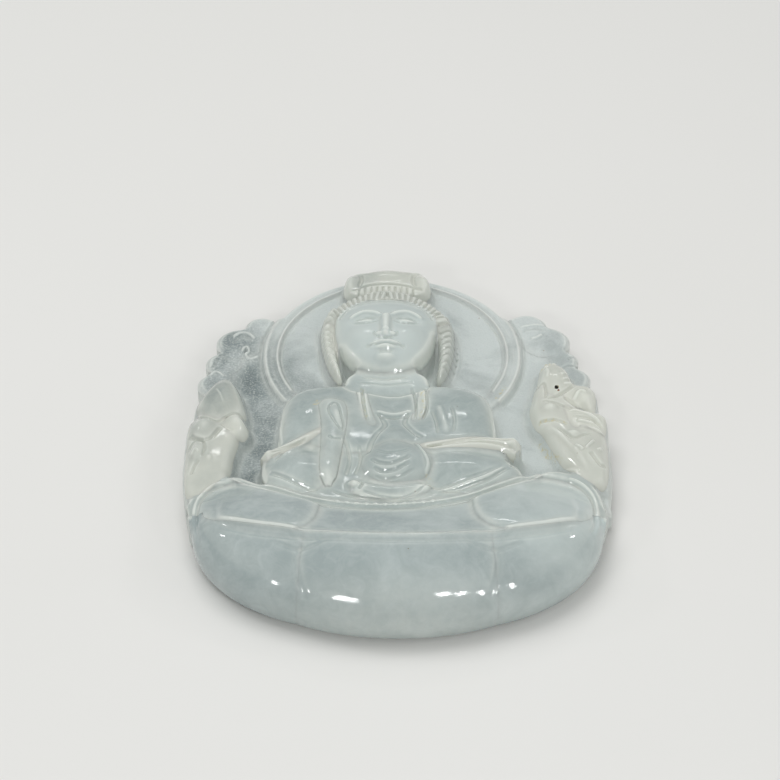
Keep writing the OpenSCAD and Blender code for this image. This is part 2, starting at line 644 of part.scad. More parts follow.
// One petal of the throne's front: a section between crest and edge, carried along the throne's angle.
module front_petal(angles) {
    last = len(angles) - 1;
    slope_steps = 8;
    under_steps = 4;
    fullness = 2 / slope_full;
    k = slope_steps + under_steps + 2;
    points = [for (i = [0 : last], j = [0 : k - 1])
        let (c = crest_point(angles[i]),
             e = edge_point(angles[i]),
             reach = norm(e - c),
             under = min(edge_under, reach * under_share),
             sunk = valley * (1 - pow(sin(180 * i / last), valley_round)),
             top = crest_height(angles[i]) - sunk,
             w = 90 * (j - 1) / slope_steps,
             v = 90 * (j - 1 - slope_steps) / under_steps,
             on_slope = j <= slope_steps + 1,
             out = on_slope ? pow(max(0, sin(w)), fullness) * reach : reach - under * (1 - cos(v)),
             above = on_slope ? edge_z + (top - edge_z) * pow(cos(w), fullness) : edge_z * (1 - sin(v)),
             z = j == 0 ? 0 : above,
             p = c + unit(e - c) * (j > 1 ? max(0, out - sunk * out / reach) : 0))
        [p[0], p[1], z]];
    faces = concat(
        [for (i = [0 : last - 1], j = [0 : k - 1])
            [i * k + j, (i + 1) * k + j, i * k + (j + 1) % k]],
        [for (i = [0 : last - 1], j = [0 : k - 1])
            [(i + 1) * k + j, (i + 1) * k + (j + 1) % k, i * k + (j + 1) % k]],
        [for (j = [1 : k - 2]) [0, j, j + 1]],
        [for (j = [1 : k - 2]) [last * k, last * k + j + 1, last * k + j]]);
    polyhedron(points, faces, convexity = 4);
}

module lower_petal_left() {
    color(jade)
        front_petal(left_angles);
}

module lower_petal_centre() {
    color(deep_jade)
        front_petal(middle_angles);
}

module lower_petal_right() {
    color(jade)
        front_petal(right_angles);
}

// What bounds the upper petals: the crest in front and the seat's rim behind.
module petal_bounds() {
    room(front_cut);
    room(seat_line);
    room(behind_seat);
}

module upper_petal_left() {
    color(deep_jade)
        difference() {
            pad(left_petal_line, throne_at + left_petal_at, side_petal_relief,
                [petal_side_fall, -petal_fall]);
            petal_bounds();
        }
}

module upper_petal_centre() {
    color(jade)
        difference() {
            pad(oval(throne_at + middle_petal_at, middle_petal, 4), throne_at + middle_petal_at,
                middle_petal_relief, [0, -petal_fall], 0.6);
            petal_bounds();
            room(left_petal_line);
            room(right_petal_line);
        }
}

module upper_petal_right() {
    color(deep_jade)
        difference() {
            pad(right_petal_line, throne_at + right_petal_at, side_petal_relief,
                [-petal_side_fall, -petal_fall]);
            petal_bounds();
        }
}

// A side band, bounded by the plate's outline, the crest, the seat's rim, the petals and the attendants.
module throne_side(path) {
    color(jade)
        difference() {
            intersection() {
                strip(path, side_widths, side_relief);
                room(plate_line);
            }
            room(front_cut);
            room(seat_line);
            room(left_petal_line);
            room(right_petal_line);
            room(left_robe_line);
            room(right_robe_line);
        }
}

module left_throne_side() {
    throne_side(left_side_path);
}

module right_throne_side() {
    throne_side(right_side_path);
}

module seat_hem() {
    color(jade)
        strip(seat_path, seat_widths, seat_relief, seat_end_share);
}

// What bounds the legs and the robe in front.
module leg_bounds() {
    room(seat_line);
    room(before_seat);
    room(raised_hand_line);
    room(lap_hand_line);
    room(foot_line);
    room(left_cuff_line);
    room(right_cuff_line);
}

module left_knee() {
    color(jade)
        difference() {
            pad(left_knee_line, left_knee_at, knee_relief);
            leg_bounds();
        }
}

module right_knee() {
    color(jade)
        difference() {
            pad(right_knee_line, right_knee_at, knee_relief);
            leg_bounds();
        }
}

module robe_lap() {
    color(jade)
        difference() {
            pad(lap_line, lap_at, lap_relief, [0, 0], 0.6);
            leg_bounds();
            room(left_knee_line);
            room(right_knee_line);
        }
}

module torso() {
    color(deep_jade)
        difference() {
            pad(torso_line, torso_at, torso_relief, [0, 0], 0.5);
            leg_bounds();
            room(left_knee_line);
            room(right_knee_line);
            room(lap_line);
            room(neck_line);
            room(left_lapel_line);
            room(right_lapel_line);
        }
}

module collar() {
    color(jade)
        difference() {
            union() {
                strip(left_lapel_path, lapel_widths, lapel_relief);
                strip(right_lapel_path, lapel_widths, lapel_relief);
            }
            room(neck_line);
        }
}

module neck() {
    color(jade)
        difference() {
            pad(neck_line, neck_at, neck_relief);
            room(face_line);
            room(left_hair_line);
            room(right_hair_line);
        }
}

module left_cuff() {
    color(pale_jade)
        difference() {
            strip(left_cuff_path, left_cuff_widths, cuff_relief);
            room(raised_hand_line);
        }
}

module right_cuff() {
    color(pale_jade)
        difference() {
            strip(right_cuff_path, right_cuff_widths, cuff_relief);
            room(lap_hand_line);
        }
}

module raised_hand() {
    color(jade)
        strip(raised_hand_path, raised_hand_widths, raised_hand_relief);
}

module lap_hand() {
    color(jade)
        pad(lap_hand_line, lap_hand_at, lap_hand_relief);
}

module crossed_foot() {
    color(jade)
        difference() {
            strip(foot_path, foot_widths, foot_relief);
            room(lap_hand_line);
        }
}

module face() {
    color(jade)
        pad(face_line, face_at, face_relief, [0, 0], 0.8);
}

module left_hair() {
    color(pale_jade)
        difference() {
            strip(left_hair_path, hair_widths, hair_relief);
            room(face_line);
            room(band_line);
        }
}

module right_hair() {
    color(pale_jade)
        difference() {
            strip(right_hair_path, hair_widths, hair_relief);
            room(face_line);
            room(band_line);
        }
}

module hair_band() {
    color(pale_jade)
        difference() {
            strip(band_path, band_widths, band_relief);
            room(face_line);
        }
}

module crown() {
    color(pale_jade)
        difference() {
            pad(crown_line, crown_at, crown_relief, [0, 0], 0.7);
            room(face_line);
            room(band_line);
        }
}

back_plaque();
halo_field();
halo_ring();
left_clouds();
right_clouds();
left_attendant_head();
left_attendant_hands();
left_attendant_robe();
right_attendant_head();
right_attendant_scarf();
right_attendant_sleeve();
right_attendant_robe();
lower_petal_left();
lower_petal_centre();
lower_petal_right();
upper_petal_left();
upper_petal_centre();
upper_petal_right();
left_throne_side();
right_throne_side();
seat_hem();
left_knee();
right_knee();
robe_lap();
torso();
collar();
neck();
left_cuff();
right_cuff();
raised_hand();
lap_hand();
crossed_foot();
face();
left_hair();
right_hair();
hair_band();
crown();
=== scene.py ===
# %% [markdown]
# # A jade relief, carved in Blender
# The real object is one flat-backed stone. A carver cut a seated figure, its halo and its lotus throne
# out of the front, ground the background matt and polished the rest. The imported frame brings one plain
# solid for each carved element. This lesson carves them all together, as the stone was carved, and then
# cuts the finished relief apart again along the outlines of the solids.

# %% Load the frame
import json
import math

import bmesh
import bpy
import numpy as np
from mathutils import Matrix, Vector
from mathutils.bvhtree import BVHTree


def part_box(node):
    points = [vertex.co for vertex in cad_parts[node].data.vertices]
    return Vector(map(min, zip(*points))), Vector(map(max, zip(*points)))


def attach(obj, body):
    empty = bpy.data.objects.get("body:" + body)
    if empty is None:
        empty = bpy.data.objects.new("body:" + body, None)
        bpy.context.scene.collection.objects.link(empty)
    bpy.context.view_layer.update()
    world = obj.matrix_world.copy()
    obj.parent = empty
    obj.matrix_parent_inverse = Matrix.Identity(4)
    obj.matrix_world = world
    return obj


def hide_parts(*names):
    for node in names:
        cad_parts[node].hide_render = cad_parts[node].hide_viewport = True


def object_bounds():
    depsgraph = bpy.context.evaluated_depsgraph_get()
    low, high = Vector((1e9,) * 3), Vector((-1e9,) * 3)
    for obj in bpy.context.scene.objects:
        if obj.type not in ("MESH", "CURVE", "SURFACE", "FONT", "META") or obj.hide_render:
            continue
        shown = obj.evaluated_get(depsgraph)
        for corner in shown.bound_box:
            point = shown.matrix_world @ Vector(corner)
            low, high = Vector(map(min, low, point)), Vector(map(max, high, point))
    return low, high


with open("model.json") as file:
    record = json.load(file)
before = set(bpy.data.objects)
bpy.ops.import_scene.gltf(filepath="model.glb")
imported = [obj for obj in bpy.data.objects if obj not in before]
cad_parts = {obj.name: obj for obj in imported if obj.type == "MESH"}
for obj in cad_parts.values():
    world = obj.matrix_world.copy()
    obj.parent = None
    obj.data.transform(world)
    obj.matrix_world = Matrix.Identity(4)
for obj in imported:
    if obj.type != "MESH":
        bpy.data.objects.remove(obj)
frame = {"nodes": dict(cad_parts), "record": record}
cad_box = [list(corner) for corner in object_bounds()]
print("frame:", len(frame["nodes"]), "solids in", cad_box)

# %% [markdown]
# ## The relief as a sheet of heights
# A relief has one height at each place of its plan, so the whole carved face can be held in one table of
# heights. It could be sculpted by hand or built solid by solid. A height table is better here, because
# neighbouring pieces read the same table and so meet without a step or a gap. Rays cast straight down on
# the solids fill the table. All carving is in millimetres; metres come back at the end.

# %% Cast rays on the solids
MM = 0.001
STEP = 0.08
MARGIN = 1.0
RAY_START = 20.0

low = np.array(cad_box[0]) / MM - MARGIN
high = np.array(cad_box[1]) / MM + MARGIN
columns = np.arange(low[0], high[0], STEP)
rows = np.arange(low[1], high[1], STEP)
names = sorted(frame["nodes"])


def solids_tree():
    """The solids as one tree for ray casts, with the number of the solid that each triangle belongs to."""
    corners, triangles, owner = [], [], []
    for number, name in enumerate(names):
        mesh = frame["nodes"][name].data
        mesh.calc_loop_triangles()
        first = len(corners)
        corners += [v.co / MM for v in mesh.vertices]
        triangles += [[first + v for v in t.vertices] for t in mesh.loop_triangles]
        owner += [number] * len(mesh.loop_triangles)
    return BVHTree.FromPolygons(corners, triangles), owner


tree, owner = solids_tree()
relief = np.zeros((len(rows), len(columns)))
piece_at = np.full(relief.shape, -1)
for r, y in enumerate(rows):
    for c, x in enumerate(columns):
        place, _, triangle, _ = tree.ray_cast(Vector((x, y, RAY_START)), Vector((0, 0, -1)))
        if place is not None:
            relief[r, c] = place.z
            piece_at[r, c] = owner[triangle]
inside = piece_at >= 0
print("heights:", relief.shape, "up to", round(relief.max(), 2), "mm")

# %% Close the hairline cracks between solids
CRACK_DEPTH = 0.4


def around(values):
    """A table and its eight neighbours, each shifted by one step."""
    padded = np.pad(values, 1, mode="edge")
    return np.array([padded[i:i + len(rows), j:j + len(columns)] for i in range(3) for j in range(3)])


nearby = around(relief)
closed = around(nearby.max(axis=0)).min(axis=0)
cracks = inside & (closed - relief > CRACK_DEPTH)
piece_at = np.where(cracks, np.choose(nearby.argmax(axis=0), around(piece_at)), piece_at)
relief = np.where(cracks, closed, relief)
print("cracks closed at", cracks.sum(), "places")

# %% [markdown]
# ## Softening the blocks
# The solids are faceted domes with upright walls. A carved stone has neither: its domes are smooth and its
# edges are worn round by the polishing wheel. Blurring the heights does both. A blur inside each outline
# takes the facets away and keeps the steps; a smaller blur over everything then rounds the steps.

# %% Blur the heights
FACET_BLUR = 0.55


def blur(values, spread):
    """Values of a table, blurred with a bell curve of that spread in mm."""
    reach = int(3 * spread / STEP) + 1
    weights = np.exp(-0.5 * (np.arange(-reach, reach + 1) * STEP / spread) ** 2)
    weights /= weights.sum()
    for _ in range(2):
        padded = np.pad(values, ((reach, reach), (0, 0)), mode="edge")
        values = sum(w * padded[k:k + len(values)] for k, w in enumerate(weights)).T
    return values


def blur_within(values, mask, spread):
    """A blur that mixes only what lies inside the mask."""
    share = blur(mask.astype(float), spread)
    return np.where(share > 1e-4, blur(values * mask, spread) / np.maximum(share, 1e-4), values)


def window_of(mask, margin):
    """The rows and columns that hold a mask, with a margin in mm."""
    extra = int(margin / STEP) + 1
    r, c = np.where(mask)
    return (slice(max(r.min() - extra, 0), r.max() + extra + 1),
            slice(max(c.min() - extra, 0), c.max() + extra + 1))


def piece_mask(name):
    return piece_at == names.index(name)


def melt(mask, spread):
    """Blurs together the heights that lie inside the mask."""
    part = window_of(mask, 3 * spread)
    relief[part] = np.where(mask[part], blur_within(relief[part], mask[part], spread), relief[part])


for name in names:
    melt(piece_mask(name), FACET_BLUR)
print("facets blurred by", FACET_BLUR, "mm")

# %% Let soft neighbours melt into each other
CLOUD_BLUR, HALO_BLUR, ATTENDANT_BLUR, CREST_END_BLUR = 0.8, 0.5, 0.5, 0.6
CREST_END_X, CREST_END_Y = 19.6, (-18.4, -13.6)


def any_piece(*parts):
    """A mask of all pieces whose names hold one of the given words."""
    return np.any([piece_mask(name) for name in names if any(part in name for part in parts)], axis=0)


across, along = columns[None, :], rows[:, None]
flat_ground = any_piece("back_plaque", "clouds")
crest_ends = inside & (abs(across) > CREST_END_X) & (along > CREST_END_Y[0]) & (along < CREST_END_Y[1])
melt(flat_ground, CLOUD_BLUR)
melt(any_piece("halo"), HALO_BLUR)
melt(any_piece("left_attendant"), ATTENDANT_BLUR)
melt(any_piece("right_attendant"), ATTENDANT_BLUR)
melt(crest_ends, CREST_END_BLUR)
print("clouds, halo, attendants and crest ends melted together")

# %% [markdown]
# ## The carver's three strokes
# Everything that follows is drawn with three strokes, as with three burrs on a carving spindle: a groove
# along a line, a ridge along a line, and a swell or hollow on a spot. Each works on the small part of the
# table around it. The lines are given by a few points and bent smoothly through them.

# %% Groove, ridge and swell
BEND_POINTS = 10


def bent(points):
    """A smooth line through the given points."""
    p = np.array([points[0], *points, points[-1]], float)
    t = np.linspace(0, 1, BEND_POINTS, endpoint=False)[:, None]
    spans = [b + (c - a) * t / 2 + (2 * a - 5 * b + 4 * c - d) * t ** 2 / 2
             + (3 * b - 3 * c + d - a) * t ** 3 / 2
             for a, b, c, d in zip(p, p[1:], p[2:], p[3:])]
    return np.concatenate([*spans, p[-1:]])


def near(points, reach):
    """The part of the table around some points, with the places of its heights."""
    low, high = np.min(points, axis=0) - reach, np.max(points, axis=0) + reach
    c = np.searchsorted(columns, (low[0], high[0]))
    r = np.searchsorted(rows, (low[1], high[1]))
    part = (slice(*r), slice(*c))
    return part, columns[part[1]][None, :], rows[part[0]][:, None]


def line_mask(points, width, fade):
    """How strongly a stroke of that width works around a line, from 0 to 1, and where."""
    line = bent(points)
    part, x, y = near(line, width)
    lengths = np.linalg.norm(np.diff(line, axis=0), axis=1)
    starts = np.concatenate([[0], np.cumsum(lengths)])
    nearest = np.full(np.broadcast_shapes(x.shape, y.shape), np.inf)
    progress = np.zeros(nearest.shape)
    for a, b, length, start in zip(line, line[1:], lengths, starts):
        way = (b - a) / max(length, 1e-9)
        t = np.clip((x - a[0]) * way[0] + (y - a[1]) * way[1], 0, length)
        away = np.hypot(x - a[0] - way[0] * t, y - a[1] - way[1] * t)
        progress = np.where(away < nearest, (start + t) / starts[-1], progress)
        nearest = np.minimum(away, nearest)
    profile = np.clip(1 - (nearest / (width / 2)) ** 2, 0, 1) ** 2
    ends = np.clip(np.minimum(progress, 1 - progress) / max(fade, 1e-3), 0, 1)
    return part, profile * ends * (2 - ends)


def groove(points, width, depth, fade=0.2):
    """Sinks a line of that width into the relief; it fades out over a share of its length."""
    part, mask = line_mask(points, width, fade)
    relief[part] -= depth * mask


def ridge(points, width, height, fade=0.2):
    groove(points, width, -height, fade)


def spot_mask(at, size, turn):
    """How strongly an oval spot works, from 0 to 1, and where."""
    part, x, y = near([at], max(size))
    turn = math.radians(turn)
    u = ((x - at[0]) * math.cos(turn) + (y - at[1]) * math.sin(turn)) / (size[0] / 2)
    v = ((y - at[1]) * math.cos(turn) - (x - at[0]) * math.sin(turn)) / (size[1] / 2)
    return part, np.clip(1 - u ** 2 - v ** 2, 0, 1) ** 2


def swell(at, size, height, turn=0):
    """Raises an oval spot of that width and length, or hollows it with a height below zero."""
    part, mask = spot_mask(at, size, turn)
    relief[part] += height * mask


print("strokes: groove, ridge, swell")

# %% [markdown]
# ## Large forms first
# A carver roughs out the large forms before any line is cut. The sleeves become two rounded masses, the
# chest sinks between them, and the knees and the attendants' shoulders fill out. These broad swells go on
# before the edges are rounded, so that they belong to the block and not to the detail. The raised hand is
# set lower and gets soft slopes, as the attendants do, because it lies flat on the robe.

# %% Rough out the sleeves, chest and attendants
EDGE_BLUR, SLOPE_BLUR, FOLD_BLUR = 0.26, 0.4, 0.3
SLOPE_GAIN = 4
HAND_LOWER = 0.4
swell((-11.2, 1.2), (9, 13), 0.55)
swell((8.2, 0.8), (10, 13), 0.55)
swell((-0.6, 1.6), (7.5, 12), -0.75)
swell((-0.6, -4.5), (5.5, 8), 0.5)
swell((-10.6, -9.2), (9, 8), 0.35)
swell((7.6, -8.6), (14, 7), 0.3, turn=-6)
swell((-22.2, -0.8), (5, 5.6), 0.8)
swell((-20.4, 4.6), (5, 7), 0.5)
swell((17.4, 2.4), (4, 6), 0.5, turn=10)
swell((21.8, -5.2), (5, 8), 0.5)
swell((-0.8, -13.2), (11, 2.6), -0.5)
relief -= HAND_LOWER * piece_mask("raised_hand")
relief = blur_within(relief, inside, EDGE_BLUR)
sloped = any_piece("attendant", "raised_hand").astype(float)
slope = np.clip(SLOPE_GAIN * blur(sloped, SLOPE_BLUR), 0, 1)
relief += slope * (blur_within(relief, inside, SLOPE_BLUR) - relief)
legs = any_piece("foot", "lap", "knee", "hem", "cuff", "torso")
relief += legs * (blur_within(relief, legs, FOLD_BLUR) - relief)
roughed_out = relief.copy()
print("roughed out: highest", round(relief.max(), 2), "mm")

# %% [markdown]
# ## Halo and clouds
# The halo is a plain disc inside two fine raised lines, and the cloud border is a row of rounded lobes
# with small comma-shaped curls. The lines follow circles, so a helper gives points on an arc.

# %% Halo lines
HALO_AT = np.array((-0.7, 15.1))
OUTER_LINE, INNER_LINE = 15.6, 14.0


def arc(at, radius, first, last, count=12):
    """Points on a circle, or on an oval of two radii, from one angle to another in degrees."""
    a = np.radians(np.linspace(first, last, count))
    return np.array(at) + radius * np.stack([np.cos(a), np.sin(a)], axis=1)


for first, last in ((152, 216), (28, -36)):
    ridge(arc(HALO_AT, OUTER_LINE, first, last), 0.85, 0.3, fade=0.05)
    groove(arc(HALO_AT, OUTER_LINE + 0.55, first, last), 0.6, 0.2, fade=0.05)
ridge(arc(HALO_AT, INNER_LINE, -32, 212, 40), 0.7, 0.3, fade=0.02)
groove(arc(HALO_AT, INNER_LINE - 0.5, -30, 210, 40), 0.5, 0.15, fade=0.02)
groove(arc(HALO_AT, INNER_LINE + 0.8, -34, 214, 40), 0.9, 0.16, fade=0.02)
print("halo: two raised lines")

# %% Cloud curls
ridge([(-19.1, 15.4), (-18.9, 16.1), (-18.5, 16.3), (-18.3, 15.6),
       (-18.6, 15.0), (-18.0, 14.4), (-17.0, 15.1)], 0.7, 0.28, 0.1)
groove([(-18.8, 15.4), (-18.6, 15.8), (-18.5, 15.4)], 0.5, 0.2)
ridge([(-20.5, 18.2), (-19.6, 19.0), (-18.6, 19.0), (-17.6, 18.0)], 0.8, 0.3)
groove([(-20.3, 17.5), (-19.5, 18.3), (-18.6, 18.3), (-17.8, 17.5)], 0.7, 0.2)
ridge([(-22.7, 10.7), (-22.0, 11.5), (-20.9, 10.7)], 0.7, 0.25)
groove([(-22.7, 12.4), (-22.3, 12.9), (-22.0, 14.3)], 0.7, 0.25)
groove([(-21.9, 14.9), (-21.0, 14.6), (-20.2, 14.0)], 0.7, 0.2)
ridge([(16.3, 18.3), (17.1, 18.4), (17.8, 19.1)], 0.8, 0.28)
ridge([(15.0, 20.4), (16.8, 20.9), (18.3, 20.9)], 0.6, 0.22)
groove([(15.4, 19.8), (16.8, 20.2), (18.4, 20.1)], 0.7, 0.22)
groove([(20.7, 14.3), (21.4, 14.7), (22.0, 14.3)], 0.6, 0.22)
groove([(19.8, 12.6), (20.8, 13.0), (22.2, 12.8)], 0.6, 0.22)
print("clouds: curls on both borders")

# %% [markdown]
# ## The two attendants
# The small figures are about 16 mm high, so they are little more than a few rounded masses with creases:
# a head, joined hands, a robe on the left, and a head, two scarf ends and a folded robe on the right.

# %% Left attendant
groove([(-23.8, 1.6), (-22.6, 0.5), (-21.0, -0.3), (-19.9, 0.7), (-19.1, 1.2), (-18.0, 1.4)], 0.6, 0.26, 0.1)
ridge([(-21.4, 4.7), (-20.8, 3.6), (-20.3, 2.4)], 0.4, 0.07)
swell((-22.6, -1.4), (3.4, 4.2), 0.4)
groove([(-23.9, -2.3), (-23.2, -3.0), (-22.3, -3.4),
        (-21.5, -3.2), (-21.0, -2.5), (-20.4, -1.2)], 0.7, 0.3, 0.1)
swell((-18.8, 0.0), (2.8, 3.0), 0.3)
groove([(-20.4, -0.5), (-19.8, -1.2), (-19.0, -1.7)], 0.6, 0.14)
swell((-22.9, -5.1), (2.0, 3.4), 0.38)
groove([(-23.9, -4.6), (-23.6, -3.7), (-23.0, -3.2),
        (-22.3, -3.6), (-22.0, -4.8), (-22.2, -6.2)], 0.5, 0.2, 0.1)
ridge([(-23.5, -5.7), (-23.2, -5.0), (-22.6, -5.6)], 0.5, 0.12)
groove([(-22.6, -6.6), (-23.0, -7.7), (-23.3, -8.9)], 0.7, 0.22)
swell((-21.4, -6.4), (1.0, 1.4), 0.12)
print("left attendant: creases and scroll")

# %% Right attendant
PIT_AT = (18.7, 6.0)
SLEEVE_CREASE = [(16.2, 0.6), (17.3, 0.3), (18.4, 0.2), (19.6, -0.5)]
for at in ((17.1, 10.2), (17.6, 10.7), (18.2, 10.9), (18.7, 10.5), (17.6, 9.9)):
    swell(at, (0.8, 0.7), 0.2)
ridge([(17.6, 9.5), (17.8, 8.6), (17.6, 7.6)], 0.6, 0.14)
for start, end in (((19.2, 7.9), (20.1, 8.7)), ((19.4, 7.1), (20.4, 7.8)), ((19.5, 6.4), (20.6, 6.9))):
    ridge([start, end], 0.6, 0.16)
swell(PIT_AT, (0.6, 0.55), -0.7)
groove([(16.4, 6.9), (17.1, 7.0), (17.4, 6.2), (17.4, 5.0), (17.2, 4.4)], 0.5, 0.22)
groove([(17.5, 4.4), (18.4, 4.6), (19.2, 5.1), (20.0, 5.7), (20.9, 6.6)], 0.6, 0.28)
groove([(16.9, 4.0), (17.8, 3.6), (18.7, 3.3), (19.6, 2.8), (20.4, 2.6)], 0.6, 0.28)
swell((17.7, 2.3), (2.4, 2.0), 0.3)
swell((21.7, 4.5), (2.8, 3.0), 0.3)
ridge([(20.6, 3.8), (21.3, 5.2), (22.2, 5.1)], 0.8, 0.2)
groove([(19.5, 4.6), (20.1, 3.9), (20.8, 3.1), (21.8, 2.4), (22.7, 2.1), (23.4, 2.7)], 0.6, 0.3, 0.1)
ridge([(19.8, 1.8), (20.5, 2.0), (21.5, 1.7), (22.3, 1.0), (23.5, -0.1)], 0.7, 0.3)
groove([(20.3, 1.0), (21.5, 0.7), (22.6, 0.1), (23.7, -0.8)], 0.6, 0.24)
ridge([(20.7, 0.2), (21.7, -0.1), (22.7, -0.4)], 0.6, 0.2)
ridge([(20.9, -0.9), (22.2, -1.1), (23.8, -1.5)], 0.6, 0.22)
groove(SLEEVE_CREASE, 0.6, 0.2)
groove([(18.4, -1.0), (19.2, -1.9), (19.9, -2.8), (20.6, -2.9), (21.3, -2.4), (22.4, -2.1)], 0.6, 0.26)
swell((20.2, -2.0), (1.8, 1.4), 0.22)
ridge([(20.2, -4.2), (20.7, -4.7), (21.0, -5.3)], 0.7, 0.25)
ridge([(21.3, -5.1), (22.0, -4.1), (22.5, -3.2)], 0.6, 0.22)
ridge([(22.9, -4.9), (23.3, -4.3)], 0.6, 0.18)
groove([(21.8, -5.5), (22.5, -6.6), (23.0, -7.1), (23.6, -6.8)], 0.7, 0.24)
ridge([(18.7, -6.6), (19.5, -7.2), (20.5, -8.2)], 0.6, 0.18)
ridge([(17.2, -0.4), (18.3, -1.6), (19.6, -3.9), (20.7, -6.2), (21.6, -8.3)], 1.0, 0.12)
print("right attendant: tuft, scarf, sleeve and robe folds")

# %% [markdown]
# ## The robe
# The figure wears an open robe. Two lapels run down from the neck, an inner garment closes below them, and
# the chest opening widens downwards like a bottle. The sleeves end in pinched cuffs whose ribs spread like
# a fan, and the hem lies in long folds over the knees.

# %% Lapels and chest opening
LEFT_LAPEL = [(-4.3, 6.0), (-4.0, 2.0), (-3.5, -1.2)]
groove(LEFT_LAPEL, 0.6, 0.35)
groove([(-2.2, 0.6), (-1.5, -1.4), (-1.7, -2.6), (-2.4, -3.7), (-3.1, -5.4), (-3.3, -7.4)], 0.9, 0.26)
groove([(1.2, 0.6), (0.8, -1.3), (1.6, -3.0), (2.8, -4.2)], 0.9, 0.26)
ridge([(-2.6, 0.9), (-0.4, 0.5), (1.7, 0.9)], 0.9, 0.3)
groove([(-2.4, 0.2), (-0.4, -0.2), (1.4, 0.2)], 0.6, 0.3)
groove([(1.6, 6.0), (2.1, 1.8), (2.0, -1.0)], 0.5, 0.3)
groove([(3.2, 6.0), (3.4, 1.5), (2.8, -1.2)], 0.5, 0.3)
ridge([(4.6, 1.6), (5.2, -1.0), (5.6, -3.5)], 1.4, 0.24)
groove([(3.9, 0.6), (4.4, -1.4), (4.6, -3.4)], 0.6, 0.22)
groove([(6.2, 1.2), (6.5, -1.2), (6.3, -3.2)], 0.6, 0.22)
ridge([(-13.2, -4.6), (-13.7, 0.0), (-13.2, 4.4), (-11.4, 6.3), (-8.2, 6.8)], 0.5, 0.11, 0.1)
ridge([(11.0, -4.2), (11.3, 0.0), (10.9, 4.2), (9.2, 6.2), (6.2, 6.8)], 0.5, 0.11, 0.1)
print("robe: lapels, opening and outline")

# %% Cuffs
RIGHT_CUFF_TIP = (3.2, -5.8)
for k in range(4):
    end = np.array((-15.3, -6.9)) + np.array((0.45, -0.5)) * k
    groove([end, (-12.6, -6.0 - 0.22 * k), (-10.4, -4.4 - 0.1 * k)], 0.36, 0.2, 0.3)
for k in range(3):
    end = np.array((13.8, -4.3)) + np.array((0, -0.85)) * k
    groove([end, (9.2, -4.2 - 0.45 * k), RIGHT_CUFF_TIP], 0.5, 0.25, 0.1)
swell((13.4, -5.2), (2.8, 2.6), 0.35)
swell((-14.8, -7.3), (2.2, 2.0), 0.3)
groove([(12.2, -6.6), (13.0, -7.4), (12.8, -8.4)], 0.7, 0.3)
print("cuffs: ribs spread from the inner ends")

# %% Hem folds over the knees
HEM_LEFT, HEM_PULL, HEM_RIGHT = (-18.4, -9.3), (-1.2, -22.45), (16.0, -8.6)
t = np.linspace(0, 1, 13)[:, None]
HEM = (1 - t) ** 2 * HEM_LEFT + 2 * t * (1 - t) * HEM_PULL + t ** 2 * HEM_RIGHT
groove([(3.6, -12.4), (6.9, -11.3), (9.5, -10.3), (11.6, -8.9)], 0.6, 0.15)
groove([(4.6, -12.9), (8.0, -11.9), (10.4, -10.8), (12.6, -8.6)], 0.6, 0.2)
ridge([(4.0, -12.7), (7.4, -11.6), (10.0, -10.6), (12.0, -8.8)], 0.6, 0.14)
groove([(-14.4, -9.6), (-11.8, -11.4), (-8.8, -12.6)], 0.7, 0.25)
groove([(-7.5, -12.6), (-4.2, -13.9), (-0.3, -14.3), (2.6, -13.9)], 0.6, 0.3)
groove([(-6.0, -4.4), (-5.4, -7.4), (-5.8, -10.4)], 0.7, 0.25)
groove([(-4.4, -5.4), (-4.2, -8.0), (-4.8, -10.2)], 0.6, 0.2)
ridge(HEM - (0, 0.8), 0.6, 0.26, 0.08)
groove(HEM - (0, 0.15), 0.6, 0.14, 0.1)
ridge(HEM + (0, 0.5), 0.5, 0.16, 0.1)
for x in np.arange(-6.6, 4.0, 1.05):
    y = np.interp(x, HEM[:, 0], HEM[:, 1])
    swell((x, y + 0.45), (0.8, 0.7), 0.16)
print("hem: long folds and beads")

# %% [markdown]
# ## Hands and foot
# The raised hand is a plain mitten shape with a leaf-shaped thumb. The hand in the lap shows its fingers as
# a few nested curves, and one foot ends in a round toe.

# %% Raised hand, lap hand and foot
THUMB = [(-8.0, 0.3), (-7.5, 1.1), (-6.9, 0.9), (-6.5, -1.0),
         (-6.2, -2.5), (-6.5, -3.2), (-7.2, -2.1), (-7.9, -0.5)]
groove(THUMB + THUMB[:1], 0.45, 0.2, 0.01)
swell((-7.0, -0.9), (1.3, 3.4), 0.15, turn=14)
groove([(-7.9, -4.4), (-7.3, -5.0), (-6.4, -4.8)], 0.5, 0.2)
groove([(-3.0, -8.4), (-2.1, -9.3), (-0.8, -9.6), (0.7, -8.9), (1.5, -8.1)], 0.7, 0.26)
groove([(-2.7, -9.8), (-1.8, -10.5), (-0.5, -10.5), (0.7, -9.8), (1.4, -9.2)], 0.7, 0.26)
groove([(-2.6, -10.9), (-1.2, -11.5), (0.5, -11.1), (1.9, -10.1)], 0.5, 0.14)
groove([(-2.6, -6.9), (-1.2, -7.9), (0.4, -7.7), (1.6, -6.8)], 0.6, 0.12)
ridge([(1.9, -5.2), (2.9, -7.3), (3.4, -9.2), (3.1, -10.6)], 0.8, 0.3)
swell((-5.0, -11.9), (2.0, 1.9), 0.55)
groove([(-4.1, -11.4), (-3.9, -12.2), (-4.3, -13.0)], 0.5, 0.25)
groove([(-3.9, -13.2), (-0.5, -14.0), (2.0, -13.3), (3.2, -11.9)], 0.45, 0.2)
print("hands: thumb, fingers and toe")
